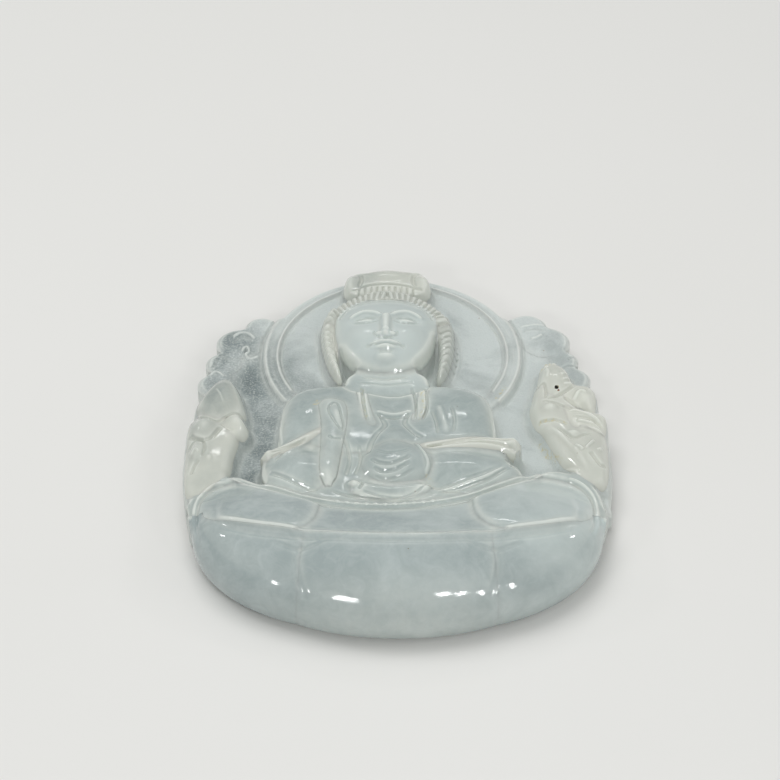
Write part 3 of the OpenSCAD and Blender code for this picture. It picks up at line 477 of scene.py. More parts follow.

# %% [markdown]
# ## Throne
# The lotus throne is the mass of the stone. Its upper petals are smooth cushions with a bright front crest, a
# raised line that also gets a painted highlight;
# its front is one swept row of three petals, already modelled as solids. A few lines mark the tips.

# %% Petal lines
HALF_CREST = [(-19.4, -18.4), (-14.8, -20.5), (-9.0, -21.7)]
CREST = HALF_CREST + [(0, -22.5)] + [(-x, y) for x, y in reversed(HALF_CREST)]
CREST_WIDER, BELOW_CREST = 1.005, 1.05
CREST_END = [(-22.8, -15.7), (-21.9, -15.7), (-21.3, -15.9), (-21.0, -16.5), (-20.3, -17.5)]
PETAL_SIZE, PETAL_SQUARE, PETAL_LIP = np.array((6.7, 6.3)), 2.7, 1.07
ridge(CREST, 1.2, 0.22, 0.06)
groove([(x * CREST_WIDER, y - BELOW_CREST) for x, y in CREST], 0.9, 0.14, 0.1)
for side in (-1, 1):
    groove([(side * 10.0, -23.2), (side * 10.6, -25.2), (side * 10.0, -27.6), (side * 9.4, -29.0)], 0.9, 0.1)
    groove([(side * 7.4, -23.0), (side * 10.4, -23.9), (side * 13.6, -22.4)], 0.8, 0.1)
for at, first, last in (((-15.3, -16.0), 120, 212), ((14.9, -15.3), 60, -32)):
    way = arc((0, 0), 1, first, last)
    oval = np.sign(way) * abs(way) ** (2 / PETAL_SQUARE) * PETAL_SIZE
    groove(at + oval, 0.5, 0.16, 0.08)
    ridge(at + oval * PETAL_LIP, 0.6, 0.16, 0.08)
print("throne: crest and petal lines")

# %% [markdown]
# ## Hair and crown
# The hair falls in two locks beside the face: a row of beads on the left and a braid on the right. A
# twisted band crosses the forehead below a low crown with a knob at each end and a ribbed fringe.

# %% Hair locks
LEFT_LOCK = bent([(-8.1, 19.6), (-8.7, 16.4), (-8.6, 13.0), (-7.4, 9.0)])
for x, y in LEFT_LOCK[::3]:
    swell((x, y), (1.5, 1.25), 0.42)
groove(LEFT_LOCK[::6] + (0.95, 0.1), 0.5, 0.22)
groove(LEFT_LOCK[::6] - (0.95, 0.1), 0.5, 0.2)
RIGHT_LOCK = bent([(5.5, 19.6), (6.1, 16.4), (6.2, 13.0), (5.3, 9.0)])
for x, y in RIGHT_LOCK[1::3]:
    groove([(x - 1.1, y - 0.5), (x, y + 0.05), (x + 1.1, y + 0.5)], 0.55, 0.32, 0.1)
ridge(RIGHT_LOCK[::6] + (1.15, 0), 0.6, 0.2)
print("hair: beads and braid")

# %% Hair band and crown
FACE_AT = np.array((-1.5, 15.0))
BAND_SIZE, BAND_HALF, BAND_LEAN = np.array((7.1, 7.9)), 0.8, math.degrees(0.07)
CROWN_X, KNOB_TURN = -1.4, 12
for turn in range(26, 156, 6):
    leaning = turn + (BAND_LEAN if turn < 90 else -BAND_LEAN)
    inner = arc(FACE_AT, BAND_SIZE - BAND_HALF, turn, turn, 1)
    outer = arc(FACE_AT, BAND_SIZE + BAND_HALF, leaning, leaning, 1)
    groove([*inner, *outer], 0.5, 0.25, 0.1)
for inset in (-1.0, 1.05):
    groove(arc(FACE_AT, BAND_SIZE + inset, 20, 160, 15), 0.45, 0.25, 0.05)
for x in np.arange(-4.9, 2.4, 0.75):
    groove([(x, 23.75), (x, 24.9)], 0.42, 0.25, 0.1)
groove([(-6.2, 24.5), (-4.0, 25.1), (-1.4, 25.35), (1.2, 25.1), (3.4, 24.5)], 0.5, 0.3)
for side in (-1, 1):
    swell((CROWN_X + side * 4.7, 26.0), (3.0, 4.2), 0.7, side * KNOB_TURN)
    groove([(CROWN_X + side * out, y) for out, y in ((3.5, 25.0), (3.2, 26.4), (3.5, 27.8))], 0.8, 0.22)
swell((CROWN_X, 27.4), (6.4, 3.4), 0.3)
print("crown: knobs, peak and fringe")

# %% [markdown]
# ## The face
# The face is a plain calm one, set out by the usual rule of thirds: hairline to brow, brow to nose, nose to
# chin. Large hollows come first, then the lids, nose and lips, and the finest lines last. Both halves are
# mirror images, so most strokes are made once for each side.

# %% Set out the face
BROW, EYES, NOSE, MOUTH, CHIN = 2.3, 1.0, -2.2, -3.7, -5.6
EYE_OUT = 2.45


def on_face(side, *points):
    """Points measured from the middle of the face, on its left (-1) or right (1) side."""
    return [FACE_AT + (side * x, y) for x, y in points]


def over_face(*points):
    """A line over the whole face from the points of its right half, given from the middle outwards."""
    return on_face(-1, *points[:0:-1]) + on_face(1, *points)


for side in (-1, 1):
    swell(*on_face(side, (EYE_OUT, EYES + 0.2)), (4.4, 2.5), -0.5)
    swell(*on_face(side, (3.0, NOSE + 0.6)), (5.0, 4.6), 0.3)
    ridge(on_face(side, (0.5, BROW - 0.7), (1.4, BROW + 0.05), (2.8, BROW + 0.35), (4.5, BROW - 0.55)),
          1.0, 0.3)
ridge(on_face(1, (0, BROW - 0.2), (0, EYES), (0, NOSE + 0.6)), 1.7, 0.6, 0.25)
swell(*on_face(1, (0, NOSE + 0.55)), (1.9, 1.7), 0.45)
swell(*on_face(1, (0, CHIN + 0.3)), (3.2, 2.2), 0.4)
swell(*on_face(1, (0, MOUTH)), (4.4, 2.4), 0.3)
print("face: thirds at", BROW, NOSE, CHIN)

# %% Lids, nose and lips
for side in (-1, 1):
    swell(*on_face(side, (EYE_OUT, EYES - 0.05)), (2.9, 1.5), 0.48)
    groove(on_face(side, (1.1, EYES - 0.2), (1.8, EYES - 0.52), (2.7, EYES - 0.52), (3.9, EYES - 0.05)),
           0.36, 0.26, 0.12)
    groove(on_face(side, (1.2, EYES + 0.35), (2.4, EYES + 0.75), (3.8, EYES + 0.2)), 0.36, 0.16)
    swell(*on_face(side, (0.85, NOSE + 0.3)), (1.0, 0.95), 0.3)
    groove(on_face(side, (1.35, NOSE + 0.75), (1.4, NOSE + 0.2), (1.0, NOSE - 0.15)), 0.35, 0.15)
    swell(*on_face(side, (2.1, MOUTH)), (0.9, 0.8), -0.18)
groove(over_face((0, NOSE - 0.3), (1.0, NOSE - 0.15)), 0.5, 0.3)
groove(on_face(1, (0, NOSE - 0.4), (0, MOUTH + 0.6)), 0.5, 0.1)
ridge(over_face((0, MOUTH + 0.32), (0.55, MOUTH + 0.42), (1.9, MOUTH + 0.1)), 0.6, 0.24)
swell(*on_face(1, (0, MOUTH - 0.45)), (2.8, 0.95), 0.32)
groove(over_face((0, MOUTH), (0.8, MOUTH - 0.06), (2.0, MOUTH + 0.12)), 0.34, 0.28, 0.1)
groove(over_face((0, MOUTH - 1.15), (0.9, MOUTH - 1.05)), 0.7, 0.18)
groove([(-4.4, 7.9), (-1.5, 7.3), (1.4, 7.9)], 0.6, 0.2)
groove([(-4.9, 6.9), (-1.5, 6.4), (1.9, 6.9)], 0.5, 0.18)
print("face: lids, nose, lips and neck lines")

# %% [markdown]
# ## The rounded rim
# The stone's outline is polished round all the way. How far a place is from the outline follows from a
# blurred picture of the outline itself: it is one half on the line and nears one further in. Lowering the
# heights by a quarter circle there rounds the rim of every piece that reaches it.

# %% Round the rim
RIM_ROUND = 0.7
PROUD = 0.03
RIM_BLUR = 0.45
CLOUD_LINE_IN, CLOUD_LINE_WIDTH, CLOUD_LINE = 0.55, 0.25, 0.06
share = blur(inside.astype(float), RIM_BLUR)
distances = np.linspace(-3 * RIM_BLUR, 3 * RIM_BLUR, 61)
shares = [0.5 + 0.5 * math.erf(d / RIM_BLUR / math.sqrt(2)) for d in distances]
inwards = np.interp(share, shares, distances)
from_edge = np.clip(inwards, 0, RIM_ROUND)
relief += np.where(flat_ground, CLOUD_LINE * np.exp(-((inwards - CLOUD_LINE_IN) / CLOUD_LINE_WIDTH) ** 2), 0)
relief = np.minimum(relief, high[2] - MARGIN - PROUD)
strokes = relief - roughed_out
relief -= RIM_ROUND - np.sqrt(RIM_ROUND ** 2 - (RIM_ROUND - from_edge) ** 2)
print("rim rounded by", RIM_ROUND, "mm; deepest stroke", round(strokes.min(), 2), "mm")

# %% [markdown]
# ## Cutting the pieces apart
# Each piece is a block whose top is the relief, cut out with a cutter as dough is cut with a pastry ring.
# The block is a fine grid set to the heights, with its border drawn down to a flat bottom. The cutter is
# the underside of the CAD solid, drawn up. A boolean keeps what both share, so the piece has exactly the
# outline of its solid and its neighbours meet it without a gap.

# %% Mesh helpers
MERGE = 0.001


def sample(values, x, y):
    """Values of a table at any places, blended from the four nearest."""
    c = np.clip((x - columns[0]) / STEP, 0, len(columns) - 1.001)
    r = np.clip((y - rows[0]) / STEP, 0, len(rows) - 1.001)
    c0, r0 = c.astype(int), r.astype(int)
    c, r = c - c0, r - r0
    return ((values[r0, c0] * (1 - c) + values[r0, c0 + 1] * c) * (1 - r)
            + (values[r0 + 1, c0] * (1 - c) + values[r0 + 1, c0 + 1] * c) * r)


def places_of(mesh):
    """The places of a mesh's vertices as a table of x, y and z."""
    co = np.empty(len(mesh.vertices) * 3)
    mesh.vertices.foreach_get("co", co)
    return co.reshape(-1, 3)


def set_places(mesh, co):
    mesh.vertices.foreach_set("co", co.ravel())
    mesh.update()


def as_mesh(bm, name):
    """Turns a bmesh into a mesh and frees it."""
    mesh = bpy.data.meshes.new(name)
    bm.to_mesh(mesh)
    bm.free()
    return mesh


def new_object(name, data):
    obj = bpy.data.objects.new(name, data)
    bpy.context.scene.collection.objects.link(obj)
    return obj


def after_modifiers(obj):
    return bpy.data.meshes.new_from_object(obj.evaluated_get(bpy.context.evaluated_depsgraph_get()))


def solid_copy(node):
    """A CAD solid as a merged bmesh in millimetres."""
    bm = bmesh.new()
    bm.from_mesh(frame["nodes"][node].data)
    bmesh.ops.scale(bm, vec=Vector((1 / MM,) * 3), verts=bm.verts)
    bmesh.ops.remove_doubles(bm, verts=bm.verts, dist=MERGE)
    return bm


print("mesh helpers ready")

# %% Set a block to the heights
PLATE_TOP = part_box("halo_field")[0].z / MM
BLOCK_FLOOR = -1.0
FLAT = 0.01


def block(node, heights, every=1):
    """A block around a node whose top follows a table of heights, at every so many of its steps."""
    corner_low, corner_high = (np.array(p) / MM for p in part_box(node))
    pitch = STEP * every
    first = np.floor((corner_low[:2] - low[:2]) / pitch).astype(int) - 1
    last = np.ceil((corner_high[:2] - low[:2]) / pitch).astype(int) + 1
    count = last - first
    bm = bmesh.new()
    bmesh.ops.create_grid(bm, x_segments=int(count[0]), y_segments=int(count[1]), size=0.5)
    bmesh.ops.scale(bm, vec=Vector((*(count * pitch), 1)), verts=bm.verts)
    bmesh.ops.translate(bm, vec=Vector((*(low[:2] + (first + last) / 2 * pitch), 0)), verts=bm.verts)
    mesh = bpy.data.meshes.new(node + "_block")
    bm.to_mesh(mesh)
    co = places_of(mesh)
    co[:, 2] = sample(heights, co[:, 0], co[:, 1])
    set_places(mesh, co)
    bm.clear()
    bm.from_mesh(mesh)
    border = [e for e in bm.edges if e.is_boundary]
    walls = bmesh.ops.extrude_edge_only(bm, edges=border)["geom"]
    for v in (g for g in walls if isinstance(g, bmesh.types.BMVert)):
        v.co.z = BLOCK_FLOOR
    bmesh.ops.holes_fill(bm, edges=[e for e in bm.edges if e.is_boundary], sides=0)
    bmesh.ops.recalc_face_normals(bm, faces=bm.faces)
    bm.to_mesh(mesh)
    bm.free()
    return mesh


def underside(node):
    """The flat underside of a CAD solid, in millimetres."""
    bm = solid_copy(node)
    bottom = min(v.co.z for v in bm.verts)
    upper = [f for f in bm.faces if max(v.co.z for v in f.verts) > bottom + FLAT]
    bmesh.ops.delete(bm, geom=upper, context="FACES")
    return bm


def islands(bm):
    """The separate areas of an underside, as sets of face numbers."""
    bm.faces.index_update()
    left, found = set(bm.faces), []
    while left:
        area, todo = set(), [left.pop()]
        while todo:
            face = todo.pop()
            area.add(face.index)
            beside = {f for e in face.edges for f in e.link_faces} & left
            left -= beside
            todo += beside
        found.append(area)
    return found


print("plate's face at", round(PLATE_TOP, 3), "mm")

# %% Draw up the cutters
CUTTER_TOP = 14.0
EDGE_UNDER = ((0.06, 0.22), (0.14, 0.2), (0.25, 0.13))
DOWNWARD = -0.9


def cutter(node, area, round_under):
    """One area of an underside drawn up into a cutter, with a rounded lower edge if asked for."""
    bm = underside(node)
    bm.faces.index_update()
    bmesh.ops.delete(bm, geom=[f for f in bm.faces if f.index not in area], context="FACES")
    floor_faces = bm.faces[:]
    drawn = bmesh.ops.extrude_face_region(bm, geom=floor_faces)["geom"]
    lid = [g for g in drawn if isinstance(g, bmesh.types.BMVert)]
    for v in lid:
        v.co.z = CUTTER_TOP
    bmesh.ops.recalc_face_normals(bm, faces=bm.faces)
    if round_under:
        floor_faces = [f for f in bm.faces if f.normal.z < DOWNWARD]
        lift = Vector((0, 0, sum(down for _, down in EDGE_UNDER)))
        bmesh.ops.translate(bm, vec=lift, verts=list({v for f in floor_faces for v in f.verts}))
        for inset, down in EDGE_UNDER:
            bmesh.ops.inset_region(bm, faces=floor_faces, thickness=inset, depth=down, use_even_offset=True)
    return as_mesh(bm, node + "_cutter")


def shared(stone, ring):
    """The mesh that a block and a cutter have in common."""
    ring_object, stone_object = new_object("ring", ring), new_object("stone", stone)
    cut = stone_object.modifiers.new("cut", "BOOLEAN")
    cut.operation, cut.solver, cut.object = "INTERSECT", "MANIFOLD", ring_object
    mesh = after_modifiers(stone_object)
    for obj in (ring_object, stone_object):
        bpy.data.objects.remove(obj)
    return mesh


def cut_out(node, heights, every=1, round_under=False):
    """A node's piece of the relief as one bmesh in millimetres."""
    stone = block(node, heights, every)
    plan = underside(node)
    areas = islands(plan)
    plan.free()
    bm = bmesh.new()
    for area in areas:
        bm.from_mesh(shared(stone, cutter(node, area, round_under)))
    return bm


print("cutters ready")

# %% [markdown]
# ## Marks for the finish
# The finish needs to know where edges, hollows and seams are. On the real stone thin edges look whitish and
# thick domes look deeper and bluer. Three masks come from the heights: how near a place is to its outline,
# how far it stands above its surroundings, and how far below. With them the colour gets painted light: seams,
# ridges and creases are painted lighter as a glow, where light scatters through the stone and against the
# shade that falls in creases and seams, and ridges get a painted highlight. A fourth holds old polishing wax,
# which stayed yellow in some creases. They go into each mesh as one colour attribute. A second attribute says
# how much deeper a whole piece looks than its finish, as the thicker hair does.

# %% Seams, ridges and creases
SEAM_BLUR = 0.8
CURVE_BLUR, CURVE_FULL = 0.3, 0.1
RIM_LIGHT, RIM_LIGHT_WIDTH = 1.0, 0.8
# The seam mask paints a glow: the colour near each piece's outline is painted lighter.
seam = np.ones(relief.shape)
for name in names:
    mask = piece_mask(name)
    part = window_of(mask, 3 * SEAM_BLUR)
    share = blur(mask[part].astype(float), SEAM_BLUR)
    seam[part] = np.where(mask[part], 1 - np.clip(2 * share - 1, 0, 1), seam[part])
# raised and sunk paint light too: ridges get a painted glow and a painted highlight, and creases get a
# painted glow against their shade.
curve = relief - blur_within(relief, inside, CURVE_BLUR)
# rim_light is painted: the rounded rim of the clouds and halo, which the lamps leave in shade, is painted
# lighter as a glow and a highlight.
rim_light = RIM_LIGHT * np.clip(1 - inwards / RIM_LIGHT_WIDTH, 0, 1) * (flat_ground | any_piece("halo"))
raised = np.maximum(np.clip(curve / CURVE_FULL, 0, 1), rim_light)
sunk = np.clip(-curve / CURVE_FULL, 0, 1)
print("masks: seam, raised and sunk")

# %% The throne's front gets a painted glow towards the floor
FRONT_SEAM, FRONT_CLEAR = 0.45, 1.2
PAINTED_GLOW_FROM, PAINTED_GLOW_OVER = -26.0, 5.0
FRONT_BACK = -16.0
front = any_piece("lower_petal") | (~inside & (along < FRONT_BACK))
plain = front & (inwards < FRONT_CLEAR)
# Painted glow: the front is painted lighter towards its bottom, and more weakly along its seams.
painted_bottom_glow = np.clip((PAINTED_GLOW_FROM - along) / PAINTED_GLOW_OVER, 0, 1)
seam = np.where(front, np.maximum(painted_bottom_glow, FRONT_SEAM * seam * ~plain), seam)
raised[plain] = sunk[plain] = 0
print("masks: front without lines near the outline")

# %% Old wax and one small pit
PIT_SIZE, RUST_SIZE, RUST_OFF = (0.62, 0.7), (0.35, 0.3), (0.2, -0.45)
PIT_MARK, RUST_MARK, SPOT_FROM = 2.0, 3.0, 0.1
wax = np.zeros(relief.shape)
for points, width, amount in (
        ([(16.4, -1.0), (17.0, -2.9), (17.9, -4.4), (18.7, -5.7)], 0.7, 1.0),
        (SLEEVE_CREASE, 0.7, 1.0),
        ([(17.0, 10.3), (18.6, 10.6)], 1.6, 0.8),
        ([(2.8, 6.2), (2.9, 0.9), (2.4, -1.1)], 0.9, 0.8),
        (LEFT_LAPEL, 0.7, 0.6),
        ([(3.9, 7.2), (6.9, 7.4)], 0.8, 0.7),
        ([(11.6, 6.2), (13.0, 9.0)], 0.9, 0.8),
        ([(-9.6, 1.2), (-9.2, 2.4)], 1.0, 0.8),
        ([(3.2, -10.4), (4.0, -12.2)], 1.0, 0.7)):
    part, mask = line_mask(points, width, fade=0.1)
    wax[part] = np.maximum(wax[part], amount * mask)
rust_at = np.add(PIT_AT, RUST_OFF)
for at, size, value in ((PIT_AT, PIT_SIZE, PIT_MARK), (rust_at, RUST_SIZE, RUST_MARK)):
    part, mask = spot_mask(at, size, turn=0)
    wax[part] = np.where(mask > SPOT_FROM, value, wax[part])
print("masks: wax in the creases, pit at", PIT_AT)

# %% Store the masks on a mesh
DEEPER = {"right_hair": 0.4, "left_hair": 0.17, "hair_band": 0.28, "crown": 0.15,
          "left_cuff": 0.2, "right_cuff": 0.1, "lap_hand": 0.3,
          "left_attendant_head": 0.2, "left_attendant_hands": 0.1, "left_attendant_robe": 0.12,
          "right_attendant_head": 0.1, "right_attendant_robe": 0.1}


def mark(mesh, node):
    """Stores the four masks on a mesh in millimetres, and how much deeper its colour is than its finish."""
    co = places_of(mesh)
    deep = mesh.attributes.new("deep", "FLOAT", "POINT")
    deep.data.foreach_set("value", np.full(len(co), DEEPER.get(node, 0.0), np.float32))
    values = np.stack([sample(m, co[:, 0], co[:, 1]) for m in (seam, raised, sunk, wax)], axis=1)
    carving = mesh.attributes.new("carving", "FLOAT_COLOR", "POINT")
    carving.data.foreach_set("color", values.astype(np.float32).ravel())


print("deeper pieces:", len(DEEPER))

# %% [markdown]
# ## The throne's front
# The three front petals curl in under the stone, so they have more than one height at a place and can't
# come from the table. Copies of their solids are merged, turned back into quads and subdivided. Next to
# the crest their tops are drawn to the relief, so that they meet the upper petals. Their outer ends are
# widened a little and tucked under the crest, which leaves no slit there.

# %% Subdivide the front petals
SHARP = math.radians(38)
FINER = 3


def front_petal(node):
    """A smooth copy of a front petal's solid as a bmesh in millimetres."""
    bm = solid_copy(node)
    bmesh.ops.join_triangles(bm, faces=bm.faces, angle_face_threshold=SHARP, angle_shape_threshold=math.pi)
    crease = bm.edges.layers.float.new("crease_edge")
    for e in bm.edges:
        if e.calc_face_angle(0) > SHARP:
            e[crease] = 1
    obj = new_object(node + "_rough", as_mesh(bm, node + "_rough"))
    finer = obj.modifiers.new("finer", "SUBSURF")
    finer.levels = finer.render_levels = FINER
    bm = bmesh.new()
    bm.from_mesh(after_modifiers(obj))
    bpy.data.objects.remove(obj)
    bm.normal_update()
    return bm


print("front petals subdivided", FINER, "times")

# %% Join the front petals to the crest
CREST_REACH, CREST_HOLD = 1.6, 0.15
TUCK, TUCK_REACH = 0.25, 0.8
FLARE, FLARE_FROM, FLARE_REACH = 0.45, (21.0, -18.2), (1.5, 2.5)
UPWARD = 0.05
crest = bent(CREST_END + CREST + [(-x, y) for x, y in reversed(CREST_END)])


def from_crest(point):
    return np.hypot(*(crest - point[:2]).T).min()


def meet_crest(bm):
    """Widens a front petal's outer end, tucks it under the crest and draws its top to the relief."""
    top = [v for v in bm.verts if any(f.normal.z > UPWARD for f in v.link_faces)]
    for v in bm.verts:
        tuck = TUCK * max(0, 1 - from_crest(v.co) / TUCK_REACH)
        outer, upper = np.clip((np.array((abs(v.co.x), v.co.y)) - FLARE_FROM) / FLARE_REACH, 0, 1)
        v.co.x += math.copysign(FLARE * outer * upper ** 2, v.co.x)
        v.co.y += tuck
    co = np.array([v.co for v in top])
    away = np.array([from_crest(point) for point in co])
    pull = np.clip(1 + CREST_HOLD - away / CREST_REACH, 0, 1)
    shape = sample(roughed_out, co[:, 0], co[:, 1])
    detail = sample(strokes, co[:, 0], co[:, 1])
    heights = np.minimum(co[:, 2] + pull * (shape - co[:, 2]) + detail, high[2] - MARGIN)
    for v, z in zip(top, heights):
        v.co.z = z


print("crest line of", len(crest), "points")

# %% [markdown]
# ## Jade
# Icy jade is a pale, blue-green grey. It is cloudy inside, whitish at thin edges and glassy where it is
# polished; the ground between the figures was left matt and frosted. Here the whitish seams, ridges and
# creases are a painted glow in the colour, and ridges get a painted highlight. A photograph of jade could be
# wrapped on, but then it would repeat and slide. Noise in the object's own coordinates runs through all
# pieces without a seam, as the clouds run through the stone. Two node groups hold what all finishes share.

# %% Shader helpers
def srgb(*levels):
    """A screen colour from 0 to 255 as the linear colour that a shader takes."""
    parts = [v / 255 for v in levels]
    return (*(v / 12.92 if v < 0.04 else ((v + 0.055) / 1.055) ** 2.4 for v in parts), 1.0)


def connect(tree, node, inputs):
    """Links or sets the inputs of a shader node, given by name or number."""
    for key, value in inputs.items():
        if isinstance(value, bpy.types.NodeSocket):
            tree.links.new(value, node.inputs[key])
        else:
            node.inputs[key].default_value = value


def add(tree, kind, inputs=None, **settings):
    """Adds a shader node with its settings and inputs."""
    node = tree.nodes.new("ShaderNode" + kind)
    for key, value in settings.items():
        setattr(node, key, value)
    connect(tree, node, inputs or {})
    return node


def new_material(name):
    """A material with its node tree, its shader and the object's own coordinates."""
    material = bpy.data.materials.new(name)
    material.use_nodes = True
    tree = material.node_tree
    return material, tree, tree.nodes["Principled BSDF"], add(tree, "TexCoord").outputs["Object"]


def new_group(name, inputs, outputs):
    """An empty node group with named sockets, and its input and output nodes."""
    group = bpy.data.node_groups.new(name, "ShaderNodeTree")
    for direction, sockets in (("INPUT", inputs), ("OUTPUT", outputs)):
        for label, kind in sockets.items():
            group.interface.new_socket(label, in_out=direction, socket_type="NodeSocket" + kind)
    return group, group.nodes.new("NodeGroupInput"), group.nodes.new("NodeGroupOutput")


def noise(tree, place, scale, detail=4.0, rough=0.55, twist=0.0):
    return add(tree, "TexNoise", {"Vector": place, "Scale": scale, "Detail": detail, "Roughness": rough,
                                  "Distortion": twist}).outputs["Fac"]


def between(tree, value, start, end, to_start=0.0, to_end=1.0):
    """A value stretched from one range to another and kept inside it."""
    return add(tree, "MapRange", {"Value": value, "From Min": start, "From Max": end,
                                  "To Min": to_start, "To Max": to_end}).outputs["Result"]


def plus(tree, first, second):
    return add(tree, "Math", {0: first, 1: second}, operation="ADD").outputs[0]


def times(tree, first, second):
    return add(tree, "Math", {0: first, 1: second}, operation="MULTIPLY").outputs[0]


MIX_SHARE, MIX_FIRST, MIX_SECOND, MIX_RESULT = 0, 6, 7, 2


def mixed(tree, share, first, second):
    """A mix of two colours, by the numbers that a Mix node gives its colour sockets."""
    sockets = {MIX_SHARE: share, MIX_FIRST: first, MIX_SECOND: second}
    return add(tree, "Mix", sockets, data_type="RGBA").outputs[MIX_RESULT]


print("shader helpers ready")

# %% The clouds inside the stone
# Scale, detail, roughness and twist of each noise, and the range that is stretched to full contrast
BANKS, BANK_RANGE = (130, 6, 0.6, 0.5), (0.36, 0.66)
WISPS, WISP_RANGE = (560, 6, 0.68, 1.2), (0.42, 0.70)
GRAIN = (4200, 3, 0.6)


def make_clouds():
    """A group that drifts from a body colour to a light one, clouds it, and gives a fine grain for bump."""
    group, given, out = new_group("stone_clouds",
                                  {"Body": "Color", "Light": "Color", "Cloud": "Color",
                                   "Drift": "Float", "Sway": "Float", "Cover": "Float"},
                                  {"Color": "Color", "Grain": "Float", "Wisps": "Float"})
    place = add(group, "TexCoord").outputs["Object"]
    banks = between(group, noise(group, place, *BANKS), *BANK_RANGE)
    wisps = between(group, noise(group, place, *WISPS), *WISP_RANGE)
    drift = plus(group, given.outputs["Drift"],
                 times(group, plus(group, banks, -0.5), given.outputs["Sway"]))
    body = mixed(group, between(group, drift, 0, 1), given.outputs["Body"], given.outputs["Light"])
    cover = plus(group, times(group, banks, 0.5), times(group, wisps, 0.5))
    cover = times(group, cover, given.outputs["Cover"])
    connect(group, out, {"Color": mixed(group, cover, body, given.outputs["Cloud"]),
                         "Grain": noise(group, place, *GRAIN), "Wisps": wisps})
    return group


clouds_group = make_clouds()
print("group:", clouds_group.name)

# %% The marks of carving, with painted glow and painted highlight
SEAM_PAINTED_GLOW, RAISED_PAINTED_GLOW, SUNK_PAINTED_GLOW = 0.52, 0.45, 0.5
UNEVEN_SCALE, UNEVEN_RANGE = 900, (0.3, 0.7, 0.6, 1.0)
BLOTS, BLOT_RANGE = (2300, 3, 0.7), (0.5, 0.66)
PIT_RANGE, RUST_RANGE = (1.2, 1.8), (2.3, 2.8)


def make_marks():
    """A group that turns the carving attribute into masks for painted glow, painted highlight, creases, wax
    and the pit.
    """
    group, _, out = new_group("carving_marks", {}, {"Painted_Glow_Mask": "Float", "Crease": "Float", "Painted_Highlight": "Float",
                                                    "Wax": "Float", "Pit": "Float", "Rust": "Float"})
    stored = add(group, "Attribute", attribute_name="carving")
    parts = add(group, "SeparateColor", {"Color": stored.outputs["Color"]})
    place = add(group, "TexCoord").outputs["Object"]
    seam, raised, sunk = (parts.outputs[part] for part in ("Red", "Green", "Blue"))
    # Painted glow: seams, ridges and creases are painted lighter.
    edge = times(group, seam, SEAM_PAINTED_GLOW)
    for mask, amount in ((raised, RAISED_PAINTED_GLOW), (sunk, SUNK_PAINTED_GLOW)):
        edge = plus(group, edge, times(group, mask, amount))
    uneven = between(group, noise(group, place, UNEVEN_SCALE), *UNEVEN_RANGE)
    blots = between(group, noise(group, place, *BLOTS), *BLOT_RANGE)
    alpha = stored.outputs["Alpha"]
    connect(group, out, {"Painted_Glow_Mask": between(group, times(group, edge, uneven), 0, 1),
                         "Crease": sunk,
                         "Painted_Highlight": times(group, raised, raised),
                         "Wax": times(group, between(group, alpha, 0, 1), blots),
                         "Pit": between(group, alpha, *PIT_RANGE),
                         "Rust": between(group, alpha, *RUST_RANGE)})
    return group


marks_group = make_marks()
print("group:", marks_group.name)

# %% How a finish is built
IOR_JADE = 1.66
GLOW, GLOW_DEPTH, GLOW_TINT = 0.4, 0.0008, (1.0, 1.05, 1.05)
POLISH_SPREAD, CREASE_DULL, WAX_DULL = 0.05, 0.1, 0.25
PAINTED_HIGHLIGHT_SHARE, FROST_IN_LIGHT = 0.35, 0.2
FROST_DARK, FROST_MIDDLE, FROST_BRIGHT = 0.3, 0.5, 0.7
SPECK_SCALE, SPECK_SIZE, SPECK_SHARE = 260, (0.03, 0.015), 0.6
# Near-white for painted highlights on ridges and for the light dots of the frosted ground.
PAINTED_HIGHLIGHT_AND_FROST_WHITE = srgb(234, 238, 232)
WAX_COLOUR, SPECK_COLOUR = srgb(197, 187, 140), srgb(120, 96, 60)
PIT_COLOUR, RUST_COLOUR = srgb(30, 28, 24), srgb(150, 60, 40)


def frosted(tree, colour, grain, amount, body):
    """A colour with the fine dark and light dots of a ground surface."""
    for limit, paint in ((FROST_DARK, body), (FROST_BRIGHT, PAINTED_HIGHLIGHT_AND_FROST_WHITE)):
        dots = between(tree, grain, FROST_MIDDLE, limit)
        colour = mixed(tree, times(tree, dots, amount), colour, paint)
    return colour


